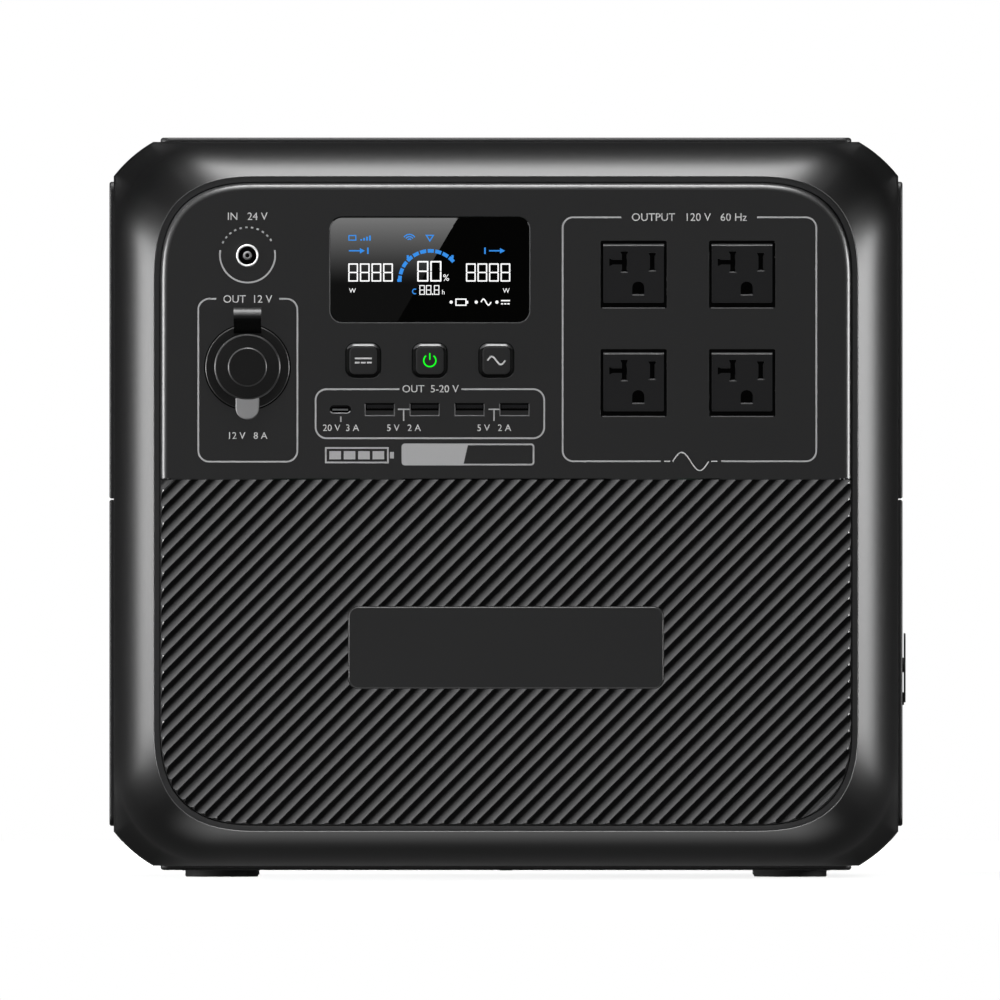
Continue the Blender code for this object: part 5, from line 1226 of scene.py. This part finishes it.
OUTLET_WAVE = (672.5, 461.5, 36.0, 9.0, 40)
WAVE_DASHES = (((664, 461.3), (670, 461.3)), ((711, 461.3), (717, 461.3)))
GAUGE = (326, 448, 388, 462.5)
GAUGE_TIP = (390, 452, 394, 458.5)
GAUGE_BAR = (329.5, 451.2, 11.6, 459.4)
GAUGE_PITCH = 14.4
BADGE_FRAME = ((402.5, 464.6), (533.5, 444.4))
BADGE_RADIUS = 0.0011
BADGE_FILL = ((403, 444.8), (468, 444.8), (463.5, 464.2), (403, 464.2))


def make_print():
    """Printed group outlines, ticks, plain ratings, battery gauge and two-tone bar on the control panel."""
    ink = Ink(FRONT_Y)
    for group in GROUP_FRAMES:
        for line in broken_outline(*group):
            ink.trace(PRINT_LINE, line)
    ink.line(PRINT_LINE, *arc(*JACK_ARC, 170, 370))
    for angle in range(30, 160, 12):
        ink.line(PRINT_LINE, *arc(*JACK_ARC, angle, angle + 5, 4))
    for left, right in PAIR_TICKS:
        centre = (left + right) / 2
        ink.line(TICK_LINE, (left, PAIR_TICK_TOP), (right, PAIR_TICK_TOP))
        ink.line(TICK_LINE, (centre, PAIR_TICK_TOP), (centre, PAIR_TICK_LOW))
    ink.line(TICK_LINE, *SINGLE_TICK)
    ink.done("panel_outlines", PRINT)
    ink = Ink(FRONT_Y)
    for rating in RATINGS:
        ink.words(*rating)
    ink.line(WAVE_LINE, *wave(*OUTLET_WAVE))
    for dash in WAVE_DASHES:
        ink.line(WAVE_LINE, *dash)
    ink.done("panel_ratings", LABEL)
    ink = Ink(FRONT_Y)
    ink.line(PRINT_LINE, *corners(*GAUGE), closed=True)
    ink.bar(*GAUGE_TIP)
    left, top, width, bottom = GAUGE_BAR
    for index in range(4):
        start = left + index * GAUGE_PITCH
        ink.bar(start, top, start + width, bottom)
    (x0, z0), (x1, z1) = (px(u, v) for u, v in BADGE_FRAME)
    ink.trace(PRINT_LINE, rounded_outline(x0, x1, z0, z1, (BADGE_RADIUS,) * 4, 5), closed=True)
    ink.shape(*BADGE_FILL)
    ink.done("panel_badge", BADGE)


def digit(ink, figure, u, v, width, height, thick):
    """Add a seven-segment 0 or 8; u and v are the photograph place of its top left corner."""
    gap = thick * 0.22
    cut = gap + thick * 0.45
    right = u + width
    low = v + height
    mid = v + height / 2
    ink.shape((u + gap, v), (right - gap, v), (right - cut, v + thick), (u + cut, v + thick))
    ink.shape((u + cut, low - thick), (right - cut, low - thick), (right - gap, low), (u + gap, low))
    for left in (u, right - thick):
        ink.bar(left, v + gap, left + thick, mid - gap)
        ink.bar(left, mid + gap, left + thick, low - gap)
    if figure == "8":
        inset = gap + thick * 0.4
        ink.bar(u + inset, mid - thick / 2, right - inset, mid + thick / 2)


# Points of the photograph for the display: figures have left edges, then top, width, height and stroke
FIGURES = (
    ("8", (348.4, 360.0, 371.6, 383.2, 466.0, 477.5, 489.0, 500.5), (263.6, 9.8, 18.2, 1.3)),
    ("8", (417.3,), (261.2, 11.2, 20.6, 1.5)),
    ("0", (430.3,), (261.2, 11.2, 20.6, 1.5)),
    ("8", (419.5, 426.0, 434.0), (285.4, 5.4, 9.6, 0.85)),
)
FIGURE_POINT = (432.0, 293.7, 433.4, 295.1)
UNITS = (("%", 446.2, 278.2, 6.6), ("W", 352.6, 291.0, 4.6), ("W", 506.2, 291.0, 4.6),
         ("h", 443.4, 292.6, 4.6))
SIGN_DOTS = (451.2, 476.3, 496.9)
SIGN_ROW = 302.3
SIGN_WAVE = (481, SIGN_ROW, 10.0, 3.0, 24)
SIGN_DASHES = (((501, 300.8), (510, 300.8)), ((501, 304.0), (503.2, 304.0)), ((504.2, 304.0), (506.4, 304.0)),
               ((507.4, 304.0), (509.6, 304.0)))
SIGN_CELL = (456, 299.3, 466, 305.4)
SIGN_CELL_TIP = (466.6, 301, 468.2, 303.8)
DIAL = (430.2, 281.5)
DIAL_OUTER = 32.2
DIAL_INNER = 28.6
DIAL_FIRST = 181.0
DIAL_BARS = 10
DIAL_STEP = 144.0 / DIAL_BARS
DIAL_MARKS = ((406.8, 255.4, 409.0, 258.6), (451.4, 255.4, 453.6, 258.6), (397.4, 279.2, 399.4, 282.0))
ARROW_ROW = 251.0
ARROWS = ((349, 368), (489, 485))
TOP_CELL = (349, 235.8, 356, 240.4)
SIGNAL_BAR = (360.5, 239.4, 1.7, 240.8)
RADIO = (409.5, 241.2)
TOP_TRIANGLE = ((426.4, 235.6), (433.4, 235.6), (429.9, 241.2))
LOW_ARC = (415.0, 291.6, 2.4, 60, 300, 10)


def make_readout():
    """What the display shows: plain figures, a segmented arc and simple icons."""
    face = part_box("display_lens")[0].y
    ink = Ink(face)
    for figure, lefts, size in FIGURES:
        for left in lefts:
            digit(ink, figure, left, *size)
    ink.bar(*FIGURE_POINT)
    for unit in UNITS:
        ink.words(*unit)
    for u in SIGN_DOTS:
        ink.shape(*circle(u, SIGN_ROW, 1.6, 16))
    for points in (wave(*SIGN_WAVE), *SIGN_DASHES):
        ink.line(1.3 * PIXEL, *points)
    ink.line(1.2 * PIXEL, *corners(*SIGN_CELL), closed=True)
    ink.bar(*SIGN_CELL_TIP)
    ink.done("display_figures", WHITE_LIT)
    ink = Ink(face)
    for index in range(DIAL_BARS):
        start = DIAL_FIRST - index * DIAL_STEP
        end = start - DIAL_STEP * 0.80
        ink.shape(*arc(*DIAL, DIAL_OUTER, start, end, 6), *arc(*DIAL, DIAL_INNER, end, start, 6))
    for mark in DIAL_MARKS:
        ink.bar(*mark)
    for left, stop in ARROWS:
        ink.line(1.3 * PIXEL, (left, ARROW_ROW), (left + 13, ARROW_ROW))
        ink.shape((left + 11, ARROW_ROW - 2.7), (left + 16, ARROW_ROW), (left + 11, ARROW_ROW + 2.7))
        ink.line(1.5 * PIXEL, (stop, ARROW_ROW - 3.2), (stop, ARROW_ROW + 3.2))
    ink.line(1.0 * PIXEL, *corners(*TOP_CELL), closed=True)
    left, top, width, bottom = SIGNAL_BAR
    for index in range(4):
        start = left + index * 2.9
        ink.bar(start, top - index * 1.2, start + width, bottom)
    for index in range(3):
        ink.line(1.1 * PIXEL, *arc(*RADIO, 2.0 + index * 2.3, 35, 145, 10))
    ink.line(1.1 * PIXEL, *TOP_TRIANGLE, closed=True)
    ink.line(1.0 * PIXEL, *arc(*LOW_ARC))
    ink.done("display_icons", BLUE_LIT)


def make_button_symbols():
    """Direct-current, power and alternating-current symbols on the buttons."""
    turns = [math.radians(turn) for turn in range(38, 323, 4)]
    ring = [(POWER_RADIUS * math.sin(turn), POWER_RADIUS * math.cos(turn)) for turn in turns]
    dashes = [[(left, -0.0009), (left + 0.0020, -0.0009)] for left in (-0.0036, -0.0010, 0.0016)]
    signs = {
        "dc_button": [[(-0.0036, 0.0009), (0.0036, 0.0009)]] + dashes,
        "power_button": [ring, [(0.0, 0.0003), (0.0, 0.0032)]],
        "ac_button": [[(u, -v) for u, v in wave(-0.0038, 0.0, 0.0076, 0.0017, 32)]],
    }
    for name in BUTTONS:
        here = middle(name)
        lit = name == "power_button"
        ink = Ink(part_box(name)[0].y)
        for line in signs[name]:
            ink.trace(POWER_LINE if lit else SYMBOL_LINE, [(here.x + u, here.z + v) for u, v in line])
        if lit:
            ink.done(name + "_symbol", GREEN_LIT, name)
        else:
            ink.done(name + "_symbol", LABEL, name)


def make_fasteners():
    """Countersunk screws under the base cover."""
    low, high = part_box("base_cover")
    for index, (sx, sy) in enumerate(((-1, -1), (0, -1), (1, -1), (-1, 1), (0, 1), (1, 1))):
        x = sx * (high.x - 0.012)
        y = (low.y + high.y) / 2 + sy * ((high.y - low.y) / 2 - 0.009)
        profile = round_over([(0, -0.0006), (0.0008, -0.0006), (0.0010, 0.0002), (0.0028, 0.0002),
                              (0.0032, -0.0004), (0, -0.0012)], 0.0001)
        lathe(f"base_screw_{index + 1}", profile, (0, 0, -1), (x, y, low.z), SCREW, steps=32,
              slot="screw_steel")


def node(tree, kind, **settings):
    """New shader node with its settings and plain input values."""
    made = tree.nodes.new(kind)
    for key, value in settings.items():
        if hasattr(made, key):
            setattr(made, key, value)
        else:
            made.inputs[key.replace("_", " ")].default_value = value
    return made


def shader_tree(owner):
    """Emptied node tree of a new material or world."""
    owner.use_nodes = True
    owner.node_tree.nodes.clear()
    return owner.node_tree


def maths(tree, operation, *values):
    """Result of a sum on node outputs and plain numbers."""
    made = node(tree, "ShaderNodeMath", operation=operation)
    for entry, value in zip(made.inputs, values):
        if isinstance(value, float):
            entry.default_value = value
        else:
            tree.links.new(value, entry)
    return made.outputs[0]


def ramp(tree, value, **ends):
    """Node output carried from one range to another; each range is 0 to 1 unless its ends are given."""
    made = node(tree, "ShaderNodeMapRange", **ends)
    tree.links.new(value, made.inputs["Value"])
    return made.outputs["Result"]


def parted(tree, vector):
    """X, Y and Z of a node output."""
    made = node(tree, "ShaderNodeSeparateXYZ")
    tree.links.new(vector, made.inputs[0])
    return made.outputs


def mirror_rays(tree, path):
    """One for rays that a surface mirrors or lets through."""
    return maths(tree, "MAXIMUM", path["Is Glossy Ray"], path["Is Transmission Ray"])


def glow_shader(tree, strength):
    """White light of a strength that a node output gives."""
    made = node(tree, "ShaderNodeEmission")
    tree.links.new(strength, made.inputs["Strength"])
    return made.outputs[0]


def show(tree, shader, kind="ShaderNodeOutputMaterial"):
    """Let a shader be what a material or world shows."""
    tree.links.new(shader, node(tree, kind).inputs["Surface"])


def stage_piece(name, bm, material):
    """Mesh for the stage, placed in the scene and fixed to no body."""
    placed(name, finished_mesh(name, bm, material))


def make_floor():
    """Floor that is white to the camera, with a soft shadow; gloss sees it dim but for a strip in front."""
    material = bpy.data.materials.new("floor_white")
    tree = shader_tree(material)
    path = node(tree, "ShaderNodeLightPath").outputs
    place = node(tree, "ShaderNodeNewGeometry").outputs["Position"]
    length = node(tree, "ShaderNodeVectorMath", operation="LENGTH")
    tree.links.new(place, length.inputs[0])
    reach = length.outputs["Value"]
    split = parted(tree, place)
    behind = ramp(tree, split["Y"], From_Min=1.0, From_Max=1.8, To_Max=FLOOR_FAR_SHEEN)
    away = maths(tree, "ABSOLUTE", maths(tree, "SUBTRACT", split["Y"], FRONT_Y - APRON_AHEAD))
    ahead = ramp(tree, away, From_Min=0.040, From_Max=0.024, To_Min=FLOOR_SHEEN, To_Max=APRON_LEVEL)
    across = maths(tree, "ABSOLUTE", split["X"])
    inside = ramp(tree, across, From_Min=PANEL_X + APRON_FADE, From_Max=PANEL_X - APRON_FADE)
    either = maths(tree, "MAXIMUM", behind, maths(tree, "MULTIPLY", ahead, inside))
    mirrored = maths(tree, "MULTIPLY", mirror_rays(tree, path), either)
    veil = ramp(tree, reach, From_Min=0.3, From_Max=0.9)
    seen = maths(tree, "MULTIPLY", path["Is Camera Ray"], veil)
    white = ramp(tree, reach, From_Min=0.3, From_Max=0.9, To_Min=0.87)
    share = maths(tree, "MULTIPLY", maths(tree, "MAXIMUM", seen, mirrored), white)
    pale = node(tree, "ShaderNodeBsdfDiffuse")
    tone = ramp(tree, path["Is Camera Ray"], To_Min=FLOOR_DIM, To_Max=FLOOR_PALE)
    tree.links.new(tone, pale.inputs["Color"])
    both = node(tree, "ShaderNodeAddShader")
    tree.links.new(pale.outputs[0], both.inputs[0])
    tree.links.new(glow_shader(tree, share), both.inputs[1])
    show(tree, both.outputs[0])
    floor = bmesh.new()
    bmesh.ops.create_circle(floor, cap_ends=True, segments=64, radius=FLOOR_RADIUS)
    stage_piece("floor", floor, material)


def make_world():
    """Dim studio; white to the camera everywhere, and white in reflections straight behind the object."""
    world = bpy.data.worlds.new("studio")
    bpy.context.scene.world = world
    tree = shader_tree(world)
    path = node(tree, "ShaderNodeLightPath").outputs
    split = parted(tree, node(tree, "ShaderNodeTexCoord").outputs["Generated"])
    behind = ramp(tree, split["Y"], From_Min=0.985, From_Max=0.995)
    mirrored = maths(tree, "MULTIPLY", mirror_rays(tree, path), behind)
    white = maths(tree, "MAXIMUM", mirrored, path["Is Camera Ray"])
    back = node(tree, "ShaderNodeBackground", Color=(1.0, 1.0, 1.0, 1.0))
    tree.links.new(ramp(tree, white, To_Min=WORLD_LEVEL), back.inputs["Strength"])
    show(tree, back.outputs[0], "ShaderNodeOutputWorld")


def soft_box(name, off_axis, turn, width, depth, radiance, distance=1.6, fill=True, sheen=True):
    """Soft light seen from the front panel at an angle off the view axis, turned round it from the right."""
    centre = Vector((0.0, FRONT_Y, FRAME_Z))
    tilt = math.radians(off_axis)
    spin = math.radians(turn)
    way = Vector((math.sin(tilt) * math.cos(spin), -math.cos(tilt), math.sin(tilt) * math.sin(spin)))
    light = bpy.data.lights.new(name, "AREA")
    light.shape = "RECTANGLE"
    light.size = width
    light.size_y = depth
    light.energy = radiance * math.pi * width * depth
    holder = placed(name, light)
    side = Vector((-math.sin(spin), 0.0, math.cos(spin)))
    facing = Matrix((side, way.cross(side), way)).transposed().to_4x4()
    holder.matrix_world = Matrix.Translation(centre + way * distance) @ facing
    holder.visible_diffuse = fill
    holder.visible_glossy = sheen
    return holder


def make_lights():
    """A grazing key from the upper left, a lamp behind for the other sides, and lamps only gloss shows."""
    key = soft_box("light_key", 81.0, 135.0, 2.00, 1.60, 85.0, distance=4.0, sheen=False)
    key.data.use_shadow = False
    soft_box("light_top", 83.0, 90.0, 1.50, 1.95, 15.8, distance=3.0, fill=False)
    soft_box("light_left", 78.0, 184.0, 1.50, 1.95, 19.5, distance=3.0, fill=False)
    soft_box("light_right", 78.0, -4.0, 1.50, 1.95, 21.0, distance=3.0, fill=False)
    for turn, radiance in ((0, 4.5), (45, 2.5), (90, 13.0), (135, 2.5), (180, 4.5)):
        soft_box(f"light_edge_{turn}", 48.0, turn, 0.60, 0.60, radiance, distance=3.0, fill=False)
    soft_box("light_rear", 125.0, 45.0, 2.00, 1.60, 9.5, distance=3.0, sheen=False)


def make_glare():
    """Card behind the camera whose mirror image is the sheen on the display's upper left."""
    lens_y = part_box("display_lens")[0].y
    x, z = px(PHOTO_SIZE / 2, PHOTO_SIZE / 2)
    ahead = lens_y - (FRONT_Y - CAMERA_DISTANCE)
    reach = (2 * ahead + GLARE_BEHIND) / ahead
    back = FRONT_Y - CAMERA_DISTANCE - GLARE_BEHIND
    bm = bmesh.new()
    places = [px(u, v) for u, v in ((325.0, 212.0), (461.5, 212.0), (398.0, 321.0), (325.0, 321.0))]
    bm.faces.new([bm.verts.new((x + (u - x) * reach, back, z + (v - z) * reach)) for u, v in places])
    material = bpy.data.materials.new("glare_white")
    tree = shader_tree(material)
    split = parted(tree, node(tree, "ShaderNodeTexCoord").outputs["Generated"])
    ease = maths(tree, "POWER", ramp(tree, split["Z"], From_Min=0.33), 1.5)
    show(tree, glow_shader(tree, maths(tree, "MULTIPLY_ADD", ease, GLARE, GLARE_LEAST)))
    stage_piece("glare_card", bm, material)


def make_camera():
    """Straight-on view from the front through a very long lens, as in the photograph."""
    x, z = px(PHOTO_SIZE / 2, PHOTO_SIZE / 2)
    camera = bpy.data.cameras.new("camera")
    camera.sensor_width = 36.0
    camera.lens = camera.sensor_width * (CAMERA_DISTANCE + 0.02) / (PHOTO_SIZE * PIXEL)
    camera.clip_end = 200.0
    holder = placed("camera", camera)
    holder.location = (x, FRONT_Y - CAMERA_DISTANCE, z)
    holder.rotation_euler = (math.pi / 2, 0.0, 0.0)
    bpy.context.scene.camera = holder


make_shell()
make_sides()
make_control_panel()
make_ribbed_panel()
make_buttons()
make_display()
make_ports()
make_jack()
make_car_socket()
make_outlets()
keep_cad()
make_print()
make_readout()
make_button_symbols()
make_fasteners()
even_normals()
make_floor()
make_world()
make_lights()
make_glare()
make_camera()
bpy.context.scene.view_settings.view_transform = "Standard"
